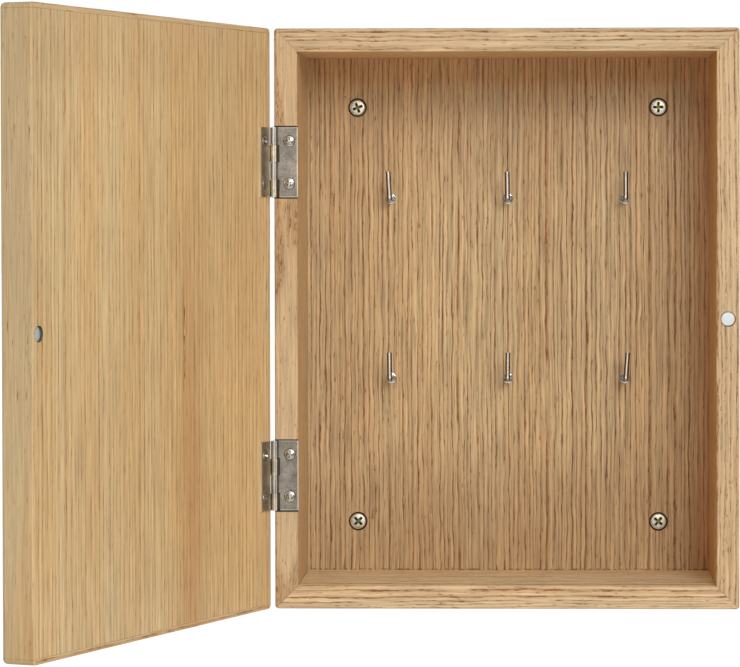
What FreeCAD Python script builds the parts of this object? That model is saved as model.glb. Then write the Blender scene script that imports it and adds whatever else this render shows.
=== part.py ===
"""Wall-hung wooden key box with a magnetic door, modelled as it is built.

Millimetres, +Z up, +X right, the front faces -Y. The origin is the centre of the back,
on the wall plane. The door stands open, and its pieces are drawn in the door's own frame,
whose origin is the pin axis at mid height, with the door shut.
"""

import FreeCAD, Part
import enum
import math
import os

import Sketcher

SIZES = [
    ("box_width", 200, "outside width of the frame and of the door"),
    ("box_height", 250, "outside height of the frame and of the door"),
    ("frame_depth", 70, "depth of the frame boards, wall to front"),
    ("board_thickness", 10, "thickness of the frame boards"),
    ("corner_round", 1.5, "round on the frame's four outer corners"),
    ("frame_arris", 1.0, "round on the frame's outer front arris"),
    ("inner_arris", 0.4, "round on the frame's inner front arris"),
    ("panel_core", 5.4, "thickness of the back panel behind its veneer"),
    ("veneer", 0.6, "thickness of every face veneer"),
    ("rebate_width", 5, "width of the rebate that takes the back panel"),
    ("panel_play", 0.2, "gap round the back panel in its rebate"),
    ("door_thickness", 14, "thickness of the door with its veneers"),
    ("lipping", 2.2, "thickness of the solid lippings round the door"),
    ("door_round", 2.0, "round on the door's outer front arrises and corners"),
    ("door_arris", 0.5, "round on the door's inner arrises"),
    ("rest_angle", 112, "how far the door stands open, in degrees"),
    ("hinge_inset", 57.5, "top or bottom of the frame to the middle of a hinge"),
    ("leaf_length", 30, "length of a hinge leaf along its pin"),
    ("leaf_width", 10.3, "pin axis to the free edge of a leaf"),
    ("leaf_sheet", 0.7, "thickness of the leaf sheet"),
    ("pin_diameter", 1.4, "hinge pin"),
    ("pin_end", 0.35, "how far the pin stands out of the knuckles at each end"),
    ("running_clearance", 0.03, "radial gap between the pin and the turning knuckles"),
    ("knuckle_gap", 0.15, "gap between neighbouring knuckles along the pin"),
    ("notch_reach", 2.5, "pin axis to the bottom of a notch in a leaf"),
    ("roll_gap", 0.15, "gap where a rolled knuckle comes back to its sheet"),
    ("axis_offset", 0.3, "pin axis outside the side of the frame"),
    ("mortise_depth", 2.0, "depth of the hinge mortise in the stile"),
    ("mortise_gap", 0.3, "gap at each end of the mortise"),
    ("relief_gap", 0.3, "gap between the knuckles and the stile"),
    ("hinge_screw_reach", 6.7, "pin axis to the hinge screws"),
    ("hinge_screw_spacing", 18.2, "distance between the two screws of a leaf"),
    ("hinge_screw_head", 4.6, "diameter of a hinge screw's head"),
    ("hinge_screw_rise", 0.45, "rise of the hinge screw's head above the leaf"),
    ("hinge_screw_top", 2.8, "diameter of the flat top of a hinge screw's head"),
    ("hinge_screw_shank", 2.2, "diameter of a hinge screw's shank"),
    ("hinge_screw_length", 10, "length of a hinge screw under its rim"),
    ("magnet_diameter", 6.0, "both magnets"),
    ("magnet_play", 0.1, "radial gap round a magnet in its hole"),
    ("magnet_edge", 5, "magnet axis to the free edge of the door or frame"),
    ("magnet_hole", 5, "depth of both magnet holes"),
    ("magnet_sink", 1.0, "how far the door magnet sits below the surface"),
    ("hook_spacing", 52.5, "distance between the columns of hooks"),
    ("upper_row_drop", 73, "top of the frame to the upper row of hooks"),
    ("lower_row_drop", 153.5, "top of the frame to the lower row of hooks"),
    ("hook_wire", 2.2, "diameter of the hook wire"),
    ("hook_reach", 14, "panel to the centre line of the upturned end"),
    ("hook_rise", 12, "centre line of the hook's shank to its tip"),
    ("hook_bend", 2.0, "bend radius of the hook's centre line"),
    ("hook_embed", 5, "length of hook screwed into the panel"),
    ("collar_diameter", 5, "collar of a hook"),
    ("collar_thickness", 1.0, "thickness of a hook's collar"),
    ("wall_screw_inset_side", 22.5, "inner side wall to a wall screw"),
    ("wall_screw_inset_end", 22, "inner top or bottom wall to a wall screw"),
    ("wall_screw_head", 7, "diameter of a wall screw's head"),
    ("wall_screw_sink", 0.6, "how far a wall screw's head sits below the panel"),
    ("wall_screw_neck", 3.0, "diameter of the plain neck under the head"),
    ("wall_screw_thread", 3.5, "diameter over the thread, behind the back"),
    ("wall_screw_play", 0.3, "radial gap round the neck in the panel"),
    ("wall_screw_stand", 24, "length that stands out behind the back"),
    ("wall_screw_point", 4, "length of the pointed end"),
    ("cross_width", 1.1, "width of a wall screw's cross slots"),
    ("cross_length", 4.2, "length of a wall screw's cross slots"),
    ("cross_depth", 1.2, "depth of a wall screw's cross slots"),
]

# Each hook sits a little turned about its own screw axis, in degrees.
HOOK_TURNS = {
    ("upper", "left"): -3.0, ("upper", "middle"): -1.0, ("upper", "right"): 0.0,
    ("lower", "left"): -1.0, ("lower", "middle"): 0.5, ("lower", "right"): 4.0,
}
# Each wall screw stopped with its cross at another angle, in degrees.
WALL_SCREW_TURNS = {("upper", -1): -20.0, ("upper", 1): 0.0, ("lower", -1): 45.0, ("lower", 1): 40.0}

# The whole angle of a wall screw's countersink, and of the shallow one in a hinge leaf.
WALL_SINK_ANGLE = 90
LEAF_SINK_ANGLE = 120
# How far a cut runs past the face it breaks through.
OVERCUT = 1


class Point(enum.IntEnum):
    """The sketcher's numbers for the points of an edge."""

    START = 1
    END = 2
    CENTRE = 3


doc = FreeCAD.newDocument("KeyBox")
sheet = doc.addObject("Spreadsheet::Sheet", "Sizes")
for row, (alias, number, meaning) in enumerate(SIZES, start=1):
    sheet.set(f"A{row}", meaning)
    sheet.set(f"B{row}", str(number))
    sheet.setAlias(f"B{row}", alias)
doc.recompute()

HALF_WIDTH = "(Sizes.box_width / 2)"
HALF_HEIGHT = "(Sizes.box_height / 2)"
BARREL = "(Sizes.pin_diameter / 2 + Sizes.running_clearance + Sizes.leaf_sheet)"
PANEL = "(Sizes.panel_core + Sizes.veneer)"
AXIS_X = "(-Sizes.box_width / 2 - Sizes.axis_offset)"
AXIS_Y = f"(-Sizes.frame_depth + Sizes.mortise_depth - {BARREL})"
DOOR_LEFT = "Sizes.axis_offset"
DOOR_RIGHT = "(Sizes.axis_offset + Sizes.box_width)"
DOOR_INNER = f"(-{BARREL})"
DOOR_OUTER = f"(-{BARREL} - Sizes.door_thickness)"

sub_parts = []


def value(expression):
    """The number that an expression over the sheet gives now."""
    result = sheet.evalExpression(expression)
    return float(getattr(result, "Value", result))


def new_body(label):
    """A body that is one sub-part, or one member of a group."""
    return doc.addObject("PartDesign::Body", label)


def keep(item, label, placement=None):
    """Names a finished sub-part, places it and lists it for export."""
    item.Label = label
    if placement is not None:
        item.Placement = placement
    sub_parts.append(item)
    return item


def bind(item, **sizes):
    """Binds properties of an object to expressions over the sheet."""
    for name, expression in sizes.items():
        item.setExpression(name, expression)


def new_sketch(body, role, offset="0"):
    """A sketch on one of the body's own origin planes, moved along its normal."""
    plane = next(f for f in body.Origin.OriginFeatures if f.Role == role)
    sketch = body.newObject("Sketcher::SketchObject", "Sketch")
    sketch.AttachmentSupport = [(plane, "")]
    sketch.MapMode = "FlatFace"
    sketch.setExpression("AttachmentOffset.Base.z", offset)
    return sketch


def dimension(sketch, kind, geometry, point, expression):
    """A sketch dimension bound to an expression."""
    number = value(expression)
    place = (geometry, number) if point is None else (geometry, point, number)
    index = sketch.addConstraint(Sketcher.Constraint(kind, *place))
    sketch.setExpression(f"Constraints[{index}]", expression)


def join_up(sketch, edges, corners):
    """Closes a ring of edges, with the start of each dimensioned from the origin."""
    for i, (edge, (across, up)) in enumerate(zip(edges, corners)):
        ahead = edges[(i + 1) % len(edges)]
        sketch.addConstraint(Sketcher.Constraint("Coincident", edge, Point.END, ahead, Point.START))
        dimension(sketch, "DistanceX", edge, Point.START, across)
        dimension(sketch, "DistanceY", edge, Point.START, up)


def draw_lines(sketch, corners):
    """A closed outline of straight lines."""
    points = [FreeCAD.Vector(value(across), value(up), 0) for across, up in corners]
    ahead = points[1:] + points[:1]
    lines = [sketch.addGeometry(Part.LineSegment(*ends)) for ends in zip(points, ahead)]
    join_up(sketch, lines, corners)


def draw_rectangle(sketch, left, right, low, high):
    """An upright rectangle with its four sides dimensioned from the origin."""
    x0, x1, y0, y1 = (value(side) for side in (left, right, low, high))
    points = [FreeCAD.Vector(*p, 0) for p in ((x0, y0), (x1, y0), (x1, y1), (x0, y1))]
    lines = [sketch.addGeometry(Part.LineSegment(points[i], points[(i + 1) % 4])) for i in range(4)]
    for i, direction in enumerate(("Horizontal", "Vertical", "Horizontal", "Vertical")):
        ahead = lines[(i + 1) % 4]
        sketch.addConstraint(Sketcher.Constraint("Coincident", lines[i], Point.END, ahead, Point.START))
        sketch.addConstraint(Sketcher.Constraint(direction, lines[i]))
    dimension(sketch, "DistanceX", lines[0], Point.START, left)
    dimension(sketch, "DistanceX", lines[0], Point.END, right)
    dimension(sketch, "DistanceY", lines[0], Point.START, low)
    dimension(sketch, "DistanceY", lines[2], Point.START, high)


def draw_circle(sketch, across, up, radius):
    """A circle with its centre and radius dimensioned."""
    centre = FreeCAD.Vector(value(across), value(up), 0)
    circle = sketch.addGeometry(Part.Circle(centre, FreeCAD.Vector(0, 0, 1), value(radius)))
    dimension(sketch, "DistanceX", circle, Point.CENTRE, across)
    dimension(sketch, "DistanceY", circle, Point.CENTRE, up)
    dimension(sketch, "Radius", circle, None, radius)


def pad(body, sketch, length, symmetric=False, backwards=False):
    """A pad of the sketch."""
    feature = body.newObject("PartDesign::Pad", "Pad")
    feature.Profile = sketch
    feature.Reversed = backwards
    feature.SideType = "Symmetric" if symmetric else "One side"
    bind(feature, Length=length)
    doc.recompute()
    return feature


def pocket(body, sketch, depth, symmetric=False, backwards=False):
    """A pocket of the sketch, which has to take material away."""
    before = body.Shape.Volume
    feature = body.newObject("PartDesign::Pocket", "Pocket")
    feature.Profile = sketch
    feature.Reversed = backwards
    feature.SideType = "Symmetric" if symmetric else "One side"
    bind(feature, Length=depth)
    doc.recompute()
    if not feature.Shape.Volume < before:
        raise RuntimeError(f"{body.Label}: a pocket takes nothing away")
    return feature


def drill(body, sketch, diameter, depth, head=None, angle=WALL_SINK_ANGLE, backwards=False):
    """Flat-bottomed holes at the sketch's circles, countersunk to the head's diameter if given."""
    before = body.Shape.Volume
    hole = body.newObject("PartDesign::Hole", "Hole")
    hole.Profile = sketch
    hole.DepthType = "Dimension"
    hole.DrillPoint = "Flat"
    hole.Reversed = backwards
    bind(hole, Diameter=diameter, Depth=depth)
    if head:
        hole.HoleCutType = "Countersink"
        hole.HoleCutCustomValues = True
        hole.HoleCutCountersinkAngle = angle
        bind(hole, HoleCutDiameter=head)
    doc.recompute()
    if not hole.Shape.Volume < before:
        raise RuntimeError(f"{body.Label}: a hole takes nothing away")
    return hole


def round_edges(body, radius, chosen):
    """Rounds the edges of the body's tip that pass the test."""
    feature = body.Tip
    names = [f"Edge{i}" for i, edge in enumerate(feature.Shape.Edges, start=1) if chosen(edge.BoundBox)]
    if not names:
        raise RuntimeError(f"{body.Label}: no edge to round")
    fillet = body.newObject("PartDesign::Fillet", "Fillet")
    fillet.Base = (feature, names)
    bind(fillet, Radius=radius)
    doc.recompute()


def near(a, b):
    """Whether two lengths are the same, but for the margin of a bounding box."""
    return abs(a - b) < 1e-3


def turned(axis, degrees, base=(0, 0, 0)):
    """A placement turned about an axis through a point that it is also moved to."""
    return FreeCAD.Placement(FreeCAD.Vector(*base), FreeCAD.Rotation(FreeCAD.Vector(*axis), degrees))


def door_place():
    """Takes the door's own frame, drawn shut, to the pin axis with the door open."""
    return turned((0, 0, 1), -value("Sizes.rest_angle"), (value(AXIS_X), value(AXIS_Y), 0))


def draw_mitred(sketch, length, half_across):
    """The front view of a mitred board, with its outer corners rounded up to the mitre."""
    cut_back = "Sizes.corner_round * (1 - cos(45))"
    inner = f"({half_across} - Sizes.board_thickness)"
    straight = f"({length} / 2 - Sizes.corner_round)"
    short = f"({length} / 2 - Sizes.board_thickness)"
    tip, tip_up = f"({length} / 2 - {cut_back})", f"({half_across} - {cut_back})"
    corners = [
        (tip, tip_up), (straight, half_across), (f"-{straight}", half_across),
        (f"-{tip}", tip_up), (f"-{short}", inner), (short, inner),
    ]
    arcs = {0: (1, 45), 2: (-1, 90)}
    radius = value("Sizes.corner_round")
    points = [FreeCAD.Vector(value(across), value(up), 0) for across, up in corners]
    edges = []
    for i, point in enumerate(points):
        if i in arcs:
            side, first = arcs[i]
            centre = FreeCAD.Vector(side * value(straight), value(half_across) - radius, 0)
            circle = Part.Circle(centre, FreeCAD.Vector(0, 0, 1), radius)
            edge = Part.ArcOfCircle(circle, math.radians(first), math.radians(first + 45))
        else:
            edge = Part.LineSegment(point, points[(i + 1) % len(points)])
        edges.append(sketch.addGeometry(edge))
    join_up(sketch, edges, corners)
    for i in arcs:
        dimension(sketch, "Radius", edges[i], None, "Sizes.corner_round")


def frame_board(label, length, half_across, turn):
    """One mitred frame board, drawn as the top one and turned to its side.

    The pad runs from the wall to the front, the rebate is cut along the inner back edge.
    """
    body = new_body(label)
    outline = new_sketch(body, "XZ_Plane")
    draw_mitred(outline, length, half_across)
    pad(body, outline, "Sizes.frame_depth")
    front, outer = -value("Sizes.frame_depth"), value(half_across)
    inner = outer - value("Sizes.board_thickness")

    def on_front(box):
        return near(box.YMin, front) and near(box.YMax, front)

    round_edges(body, "Sizes.frame_arris", lambda box: on_front(box) and near(box.ZMax, outer))
    round_edges(body, "Sizes.inner_arris", lambda box: on_front(box) and near(box.ZMax, inner))
    rebate = new_sketch(body, "XZ_Plane")
    low = f"({half_across} - Sizes.board_thickness)"
    shoulder = f"{low} + Sizes.rebate_width"
    draw_rectangle(rebate, f"-{length} / 2", f"{length} / 2", f"{low} - {OVERCUT}", shoulder)
    pocket(body, rebate, PANEL, backwards=True)
    return keep(body, label, turned((0, 1, 0), turn))


def hinge_heights():
    """The two hinges, with the height of the middle of each."""
    height = f"({HALF_HEIGHT} - Sizes.hinge_inset)"
    return {"upper": height, "lower": f"-{height}"}


def leaf_screw_heights(middle):
    """The heights of the two screws in a leaf whose middle is given."""
    return [f"{middle} + Sizes.hinge_screw_spacing / 2", f"{middle} - Sizes.hinge_screw_spacing / 2"]


def cut_hinge_seats(stile):
    """Mortises, knuckle reliefs and pilot holes for both hinges in the left stile.

    The stile is still drawn as the top board here: its length is along X, its outer face up.
    """
    floor = "(Sizes.frame_depth - Sizes.mortise_depth)"
    length = "(Sizes.leaf_length + 2 * Sizes.mortise_gap)"
    axis_up = f"({HALF_WIDTH} + Sizes.axis_offset)"
    for middle in hinge_heights().values():
        seat = new_sketch(stile, "XZ_Plane", "Sizes.frame_depth")
        draw_rectangle(seat, f"{middle} - {length} / 2", f"{middle} + {length} / 2",
                       f"{HALF_WIDTH} - Sizes.board_thickness - {OVERCUT}", f"{HALF_WIDTH} + {OVERCUT}")
        pocket(stile, seat, "Sizes.mortise_depth")
        relief = new_sketch(stile, "YZ_Plane", middle)
        draw_circle(relief, AXIS_Y, axis_up, f"{BARREL} + Sizes.relief_gap")
        pocket(stile, relief, length, symmetric=True)
        pilot = new_sketch(stile, "XZ_Plane", floor)
        for along in leaf_screw_heights(middle):
            draw_circle(pilot, along, f"{axis_up} - Sizes.hinge_screw_reach", "Sizes.hinge_screw_shank / 2")
        drill(stile, pilot, "Sizes.hinge_screw_shank", "Sizes.hinge_screw_length - Sizes.leaf_sheet")


def frame():
    """The four boards of the frame, the left one cut for the hinges, the right one for the magnet."""
    frame_board("frame_top_rail", "Sizes.box_width", HALF_HEIGHT, 0)
    frame_board("frame_bottom_rail", "Sizes.box_width", HALF_HEIGHT, 180)
    left = frame_board("frame_left_stile", "Sizes.box_height", HALF_WIDTH, -90)
    cut_hinge_seats(left)
    right = frame_board("frame_right_stile", "Sizes.box_height", HALF_WIDTH, 90)
    hole = new_sketch(right, "XZ_Plane", "Sizes.frame_depth")
    draw_circle(hole, "0", f"{HALF_WIDTH} - Sizes.magnet_edge", "Sizes.magnet_diameter / 2")
    drill(right, hole, "Sizes.magnet_diameter + 2 * Sizes.magnet_play", "Sizes.magnet_hole")


def wall_screw_places():
    """The four wall screws: upper or lower, side, and the expressions of their place."""
    across = f"({HALF_WIDTH} - Sizes.board_thickness - Sizes.wall_screw_inset_side)"
    up = f"({HALF_HEIGHT} - Sizes.board_thickness - Sizes.wall_screw_inset_end)"
    for row, sign in (("upper", ""), ("lower", "-")):
        for side in (-1, 1):
            yield row, side, f"{side} * {across}", f"{sign}{up}"


def hook_places():
    """The six hooks: row, column, and the expressions of their place."""
    for row in ("upper", "lower"):
        for column, step in (("left", -1), ("middle", 0), ("right", 1)):
            yield row, column, f"{step} * Sizes.hook_spacing", f"{HALF_HEIGHT} - Sizes.{row}_row_drop"


def panel_layer(label, front, thickness):
    """One layer of the back panel, from its front plane towards the wall, with its screw and hook holes."""
    body = new_body(label)
    sketch = new_sketch(body, "XZ_Plane", front)
    reach = "- Sizes.board_thickness + Sizes.rebate_width - Sizes.panel_play)"
    across, up = f"(Sizes.box_width / 2 {reach}", f"(Sizes.box_height / 2 {reach}"
    draw_rectangle(sketch, f"-{across}", across, f"-{up}", up)
    pad(body, sketch, thickness, backwards=True)
    neck = "Sizes.wall_screw_neck + 2 * Sizes.wall_screw_play"
    rim = "Sizes.wall_screw_head + 2 * Sizes.wall_screw_sink"
    screws = new_sketch(body, "XZ_Plane", front)
    for _, _, across, up in wall_screw_places():
        draw_circle(screws, across, up, "Sizes.wall_screw_head / 2")
    drill(body, screws, neck, f"{PANEL} + {OVERCUT}", f"{rim} - 2 * ({PANEL} - {front})")
    hooks = new_sketch(body, "XZ_Plane", front)
    for _, _, across, up in hook_places():
        draw_circle(hooks, across, up, "Sizes.hook_wire / 2")
    drill(body, hooks, "Sizes.hook_wire", f"Sizes.hook_embed - ({PANEL} - {front})")
    return keep(body, label)


def back_panel():
    """The panel's core and its face veneer, which lies against the rebate's shoulder."""
    panel_layer("back_panel_core", "Sizes.panel_core", "Sizes.panel_core")
    panel_layer("back_panel_veneer", PANEL, "Sizes.veneer")


def magnet(label, length):
    """A round magnet drawn with its face on the XZ plane, reaching back along +Y."""
    body = new_body(label)
    sketch = new_sketch(body, "XZ_Plane")
    draw_circle(sketch, "0", "0", "Sizes.magnet_diameter / 2")
    pad(body, sketch, length, backwards=True)
    return body


def hook(row, column, across, up):
    """A square-bent wire hook, swept along its centre line from inside the panel to its tip."""
    body = new_body("hook")
    path = new_sketch(body, "YZ_Plane")
    bend, reach, rise = (value(f"Sizes.hook_{size}") for size in ("bend", "reach", "rise"))
    embed = value("Sizes.hook_embed")
    circle = Part.Circle(FreeCAD.Vector(bend - reach, bend, 0), FreeCAD.Vector(0, 0, 1), bend)
    turn = Part.ArcOfCircle(circle, math.pi, 1.5 * math.pi)
    shank = Part.LineSegment(FreeCAD.Vector(embed, 0, 0), FreeCAD.Vector(bend - reach, 0, 0))
    stem = Part.LineSegment(FreeCAD.Vector(-reach, bend, 0), FreeCAD.Vector(-reach, rise, 0))
    shank, turn, stem = (path.addGeometry(edge) for edge in (shank, turn, stem))
    path.addConstraint(Sketcher.Constraint("Horizontal", shank))
    path.addConstraint(Sketcher.Constraint("Vertical", stem))
    path.addConstraint(Sketcher.Constraint("Tangent", shank, Point.END, turn, Point.END))
    path.addConstraint(Sketcher.Constraint("Tangent", turn, Point.START, stem, Point.START))
    dimension(path, "DistanceX", shank, Point.START, "Sizes.hook_embed")
    dimension(path, "DistanceY", shank, Point.START, "0")
    dimension(path, "Radius", turn, None, "Sizes.hook_bend")
    dimension(path, "DistanceX", stem, Point.END, "-Sizes.hook_reach")
    dimension(path, "DistanceY", stem, Point.END, "Sizes.hook_rise")
    section = new_sketch(body, "XZ_Plane", "-Sizes.hook_embed")
    draw_circle(section, "0", "0", "Sizes.hook_wire / 2")
    doc.recompute()
    pipe = body.newObject("PartDesign::AdditivePipe", "Pipe")
    pipe.Profile = section
    pipe.Spine = (path, ["Edge1", "Edge2", "Edge3"])
    doc.recompute()
    place = (value(across), -value(PANEL), value(up))
    return keep(body, f"hook_{row}_{column}", turned((0, 1, 0), HOOK_TURNS[row, column], place))


def hook_collar(across, up):
    """The collar round a hook where it enters the panel."""
    body = new_body("collar")
    sketch = new_sketch(body, "XZ_Plane")
    draw_circle(sketch, "0", "0", "Sizes.collar_diameter / 2")
    draw_circle(sketch, "0", "0", "Sizes.hook_wire / 2")
    pad(body, sketch, "Sizes.collar_thickness")
    body.Placement = turned((0, 1, 0), 0, (value(across), -value(PANEL), value(up)))
    return body


def group(label, members):
    """Several separate identical pieces under one name."""
    compound = doc.addObject("Part::Compound", label)
    compound.Links = members
    doc.recompute()
    return keep(compound, label)


def cut_cross(body, width, length, depth):
    """A cross recess in a screw's head, from its face on the XZ plane."""
    for across, up in ((width, length), (length, width)):
        sketch = new_sketch(body, "XZ_Plane")
        draw_rectangle(sketch, f"-{across} / 2", f"{across} / 2", f"-{up} / 2", f"{up} / 2")
        pocket(body, sketch, depth)


def turn_profile(body, sketch):
    """A full revolution of a profile in the XY plane about the Y axis."""
    feature = body.newObject("PartDesign::Revolution", "Revolution")
    feature.Profile = sketch
    feature.ReferenceAxis = (sketch, ["V_Axis"])
    feature.Angle = 360
    doc.recompute()
    return feature


def wall_screw(row, side, across, up):
    """A countersunk wood screw with a plain neck in the panel and its thread behind the back.

    It is drawn with its head's face on the XZ plane and points along +Y, into the wall.
    """
    body = new_body("wall_screw")
    head, neck, thread = (f"(Sizes.wall_screw_{part} / 2)" for part in ("head", "neck", "thread"))
    back = f"({PANEL} - Sizes.wall_screw_sink)"
    tip = f"({back} + Sizes.wall_screw_stand)"
    profile = new_sketch(body, "XY_Plane")
    draw_lines(profile, [
        ("0", "0"), (head, "0"), (neck, f"{head} - {neck}"), (neck, back), (thread, back),
        (thread, f"{tip} - Sizes.wall_screw_point"), ("0", tip),
    ])
    turn_profile(body, profile)
    cut_cross(body, "Sizes.cross_width", "Sizes.cross_length", "Sizes.cross_depth")
    face = value(f"Sizes.wall_screw_sink - {PANEL}")
    body.Placement = turned((0, 1, 0), WALL_SCREW_TURNS[row, side], (value(across), face, value(up)))
    return body


def hinge_screw():
    """A raised countersunk screw of a hinge leaf, drawn with its rim on the XZ plane, pointing along +Y."""
    body = new_body("hinge_screw")
    head, shank, top = (f"(Sizes.hinge_screw_{part} / 2)" for part in ("head", "shank", "top"))
    length, rise = "Sizes.hinge_screw_length", "-Sizes.hinge_screw_rise"
    cone = f"((Sizes.hinge_screw_head - Sizes.hinge_screw_shank) / 2 / tan({LEAF_SINK_ANGLE} / 2))"
    profile = new_sketch(body, "XY_Plane")
    draw_lines(profile, [
        ("0", rise), (top, rise), (head, "0"), (shank, cone), (shank, f"{length} - {shank}"), ("0", length),
    ])
    turn_profile(body, profile)
    return body


def hinge_leaf(label, clearance, placement):
    """A sheet leaf with rolled knuckles, drawn on its pin axis with the sheet's back at +Y.

    It keeps the first and third of four knuckles, counted from the top. Turned end for end it is
    the other leaf, whose knuckles fill the notches of this one.
    """
    body = new_body(label)
    length = "Sizes.leaf_length"
    sheet_front = f"({BARREL} - Sizes.leaf_sheet)"
    plate = new_sketch(body, "XY_Plane")
    draw_rectangle(plate, "0", "Sizes.leaf_width", sheet_front, BARREL)
    pad(body, plate, length, symmetric=True)
    barrel = new_sketch(body, "XY_Plane")
    draw_circle(barrel, "0", "0", BARREL)
    pad(body, barrel, length, symmetric=True)
    bore = new_sketch(body, "XY_Plane")
    draw_circle(bore, "0", "0", f"Sizes.pin_diameter / 2 + {clearance}")
    pocket(body, bore, f"{length} + 2 * {OVERCUT}", symmetric=True)
    slit = new_sketch(body, "XY_Plane")
    draw_rectangle(slit, "0", BARREL, f"{sheet_front} - Sizes.roll_gap", sheet_front)
    pocket(body, slit, f"{length} + 2 * {OVERCUT}", symmetric=True)
    knuckle = f"({length} / 4)"
    for low, high in (("0", knuckle), (f"-3 * {knuckle}", f"-{knuckle}")):
        notch = new_sketch(body, "XZ_Plane")
        draw_rectangle(notch, f"-{BARREL} - {OVERCUT}", "Sizes.notch_reach",
                       f"{low} - Sizes.knuckle_gap / 2", f"{high} + Sizes.knuckle_gap / 2")
        pocket(body, notch, f"2 * ({BARREL} + {OVERCUT})", symmetric=True)
    screws = new_sketch(body, "XZ_Plane", f"-{sheet_front}")
    for up in leaf_screw_heights("0"):
        draw_circle(screws, "Sizes.hinge_screw_reach", up, "Sizes.hinge_screw_shank / 2")
    depth = f"Sizes.leaf_sheet + {OVERCUT}"
    drill(body, screws, "Sizes.hinge_screw_shank", depth, "Sizes.hinge_screw_head", LEAF_SINK_ANGLE)
    return keep(body, label, placement)


def hinge_pin(label, middle):
    """A pin that shows a little above and below the knuckles."""
    body = new_body(label)
    section = new_sketch(body, "XY_Plane")
    draw_circle(section, "0", "0", "Sizes.pin_diameter / 2")
    pad(body, section, "Sizes.leaf_length + 2 * Sizes.pin_end", symmetric=True)
    return keep(body, label, turned((0, 0, 1), 0, (value(AXIS_X), value(AXIS_Y), value(middle))))


def leaf_screws(middle, place, turn):
    """The two screws of a leaf, with the leaf's own place and the turn that points them into the wood."""
    front = value(f"{BARREL} - Sizes.leaf_sheet")
    for up in leaf_screw_heights(middle):
        screw = hinge_screw()
        seat = (value("Sizes.hinge_screw_reach"), front if turn == 0 else -front, value(up))
        screw.Placement = place.multiply(turned((0, 0, 1), turn, seat))
        yield screw


def hinges():
    """Two butt hinges: a leaf let into the stile, a leaf laid on the door, a pin and four screws each."""
    frame_place = turned((0, 0, 1), 0, (value(AXIS_X), value(AXIS_Y), 0))
    frame_screws, door_screws = [], []
    for name, middle in hinge_heights().items():
        up = turned((1, 0, 0), 0, (0, 0, value(middle)))
        over = turned((1, 0, 0), 180, (0, 0, value(middle)))
        hinge_leaf(f"{name}_hinge_frame_leaf", "0", frame_place.multiply(up))
        hinge_leaf(f"{name}_hinge_door_leaf", "Sizes.running_clearance", door_place().multiply(over))
        hinge_pin(f"{name}_hinge_pin", middle)
        frame_screws += leaf_screws(middle, frame_place, 0)
        door_screws += leaf_screws(middle, door_place(), 180)
    group("hinge_frame_screws", frame_screws)
    group("hinge_door_screws", door_screws)


def drill_magnet_hole(body):
    """The door magnet's hole, from the door's inner face."""
    hole = new_sketch(body, "XZ_Plane", BARREL)
    draw_circle(hole, f"{DOOR_RIGHT} - Sizes.magnet_edge", "0", "Sizes.magnet_diameter / 2")
    drill(body, hole, "Sizes.magnet_diameter + 2 * Sizes.magnet_play", "Sizes.magnet_hole", backwards=True)


def drill_hinge_holes(body):
    """The pilot holes of the hinge screws, from the door's inner face."""
    for middle in hinge_heights().values():
        pilot = new_sketch(body, "XZ_Plane", BARREL)
        for up in leaf_screw_heights(middle):
            draw_circle(pilot, "Sizes.hinge_screw_reach", up, "Sizes.hinge_screw_shank / 2")
        depth = "Sizes.hinge_screw_length - Sizes.leaf_sheet"
        drill(body, pilot, "Sizes.hinge_screw_shank", depth, backwards=True)


def door_layer(label, depth, thickness):
    """One layer of the door between its lippings, from a depth behind the inner face."""
    body = new_body(label)
    sketch = new_sketch(body, "XZ_Plane", f"{BARREL} + {depth}")
    up = f"({HALF_HEIGHT} - Sizes.lipping)"
    draw_rectangle(sketch, f"{DOOR_LEFT} + Sizes.lipping", f"{DOOR_RIGHT} - Sizes.lipping", f"-{up}", up)
    pad(body, sketch, thickness)
    return keep(body, label, door_place())


def door_lipping(label, left, right, low, high):
    """One lipping as thick as the door, rounded on the arrises that face out of the door."""
    body = new_body(label)
    sketch = new_sketch(body, "XZ_Plane", BARREL)
    draw_rectangle(sketch, left, right, low, high)
    pad(body, sketch, "Sizes.door_thickness")
    hinge_side, free_side, end = value(DOOR_LEFT), value(DOOR_RIGHT), value(HALF_HEIGHT)
    inner, outer = value(DOOR_INNER), value(DOOR_OUTER)

    def sides_met(box):
        """How many of the door's four sides an edge lies along."""
        upright = near(box.XMax, hinge_side) or near(box.XMin, free_side)
        return upright + near((box.ZMin + box.ZMax) / 2, math.copysign(end, box.ZMin + box.ZMax))

    def faces_out(box):
        corner = sides_met(box) == 2 and near(box.YMin, outer) and near(box.YMax, inner)
        return corner or (sides_met(box) and near(box.YMin, outer) and near(box.YMax, outer))

    def faces_in(box):
        """Whether an edge lies on the inner face and reaches a side, also at the end of a corner round."""
        reaches = near(box.XMin, hinge_side) or near(box.XMax, free_side) or sides_met(box)
        return reaches and near(box.YMin, inner) and near(box.YMax, inner)

    round_edges(body, "Sizes.door_round", faces_out)
    round_edges(body, "Sizes.door_arris", faces_in)
    return keep(body, label, door_place())


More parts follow.
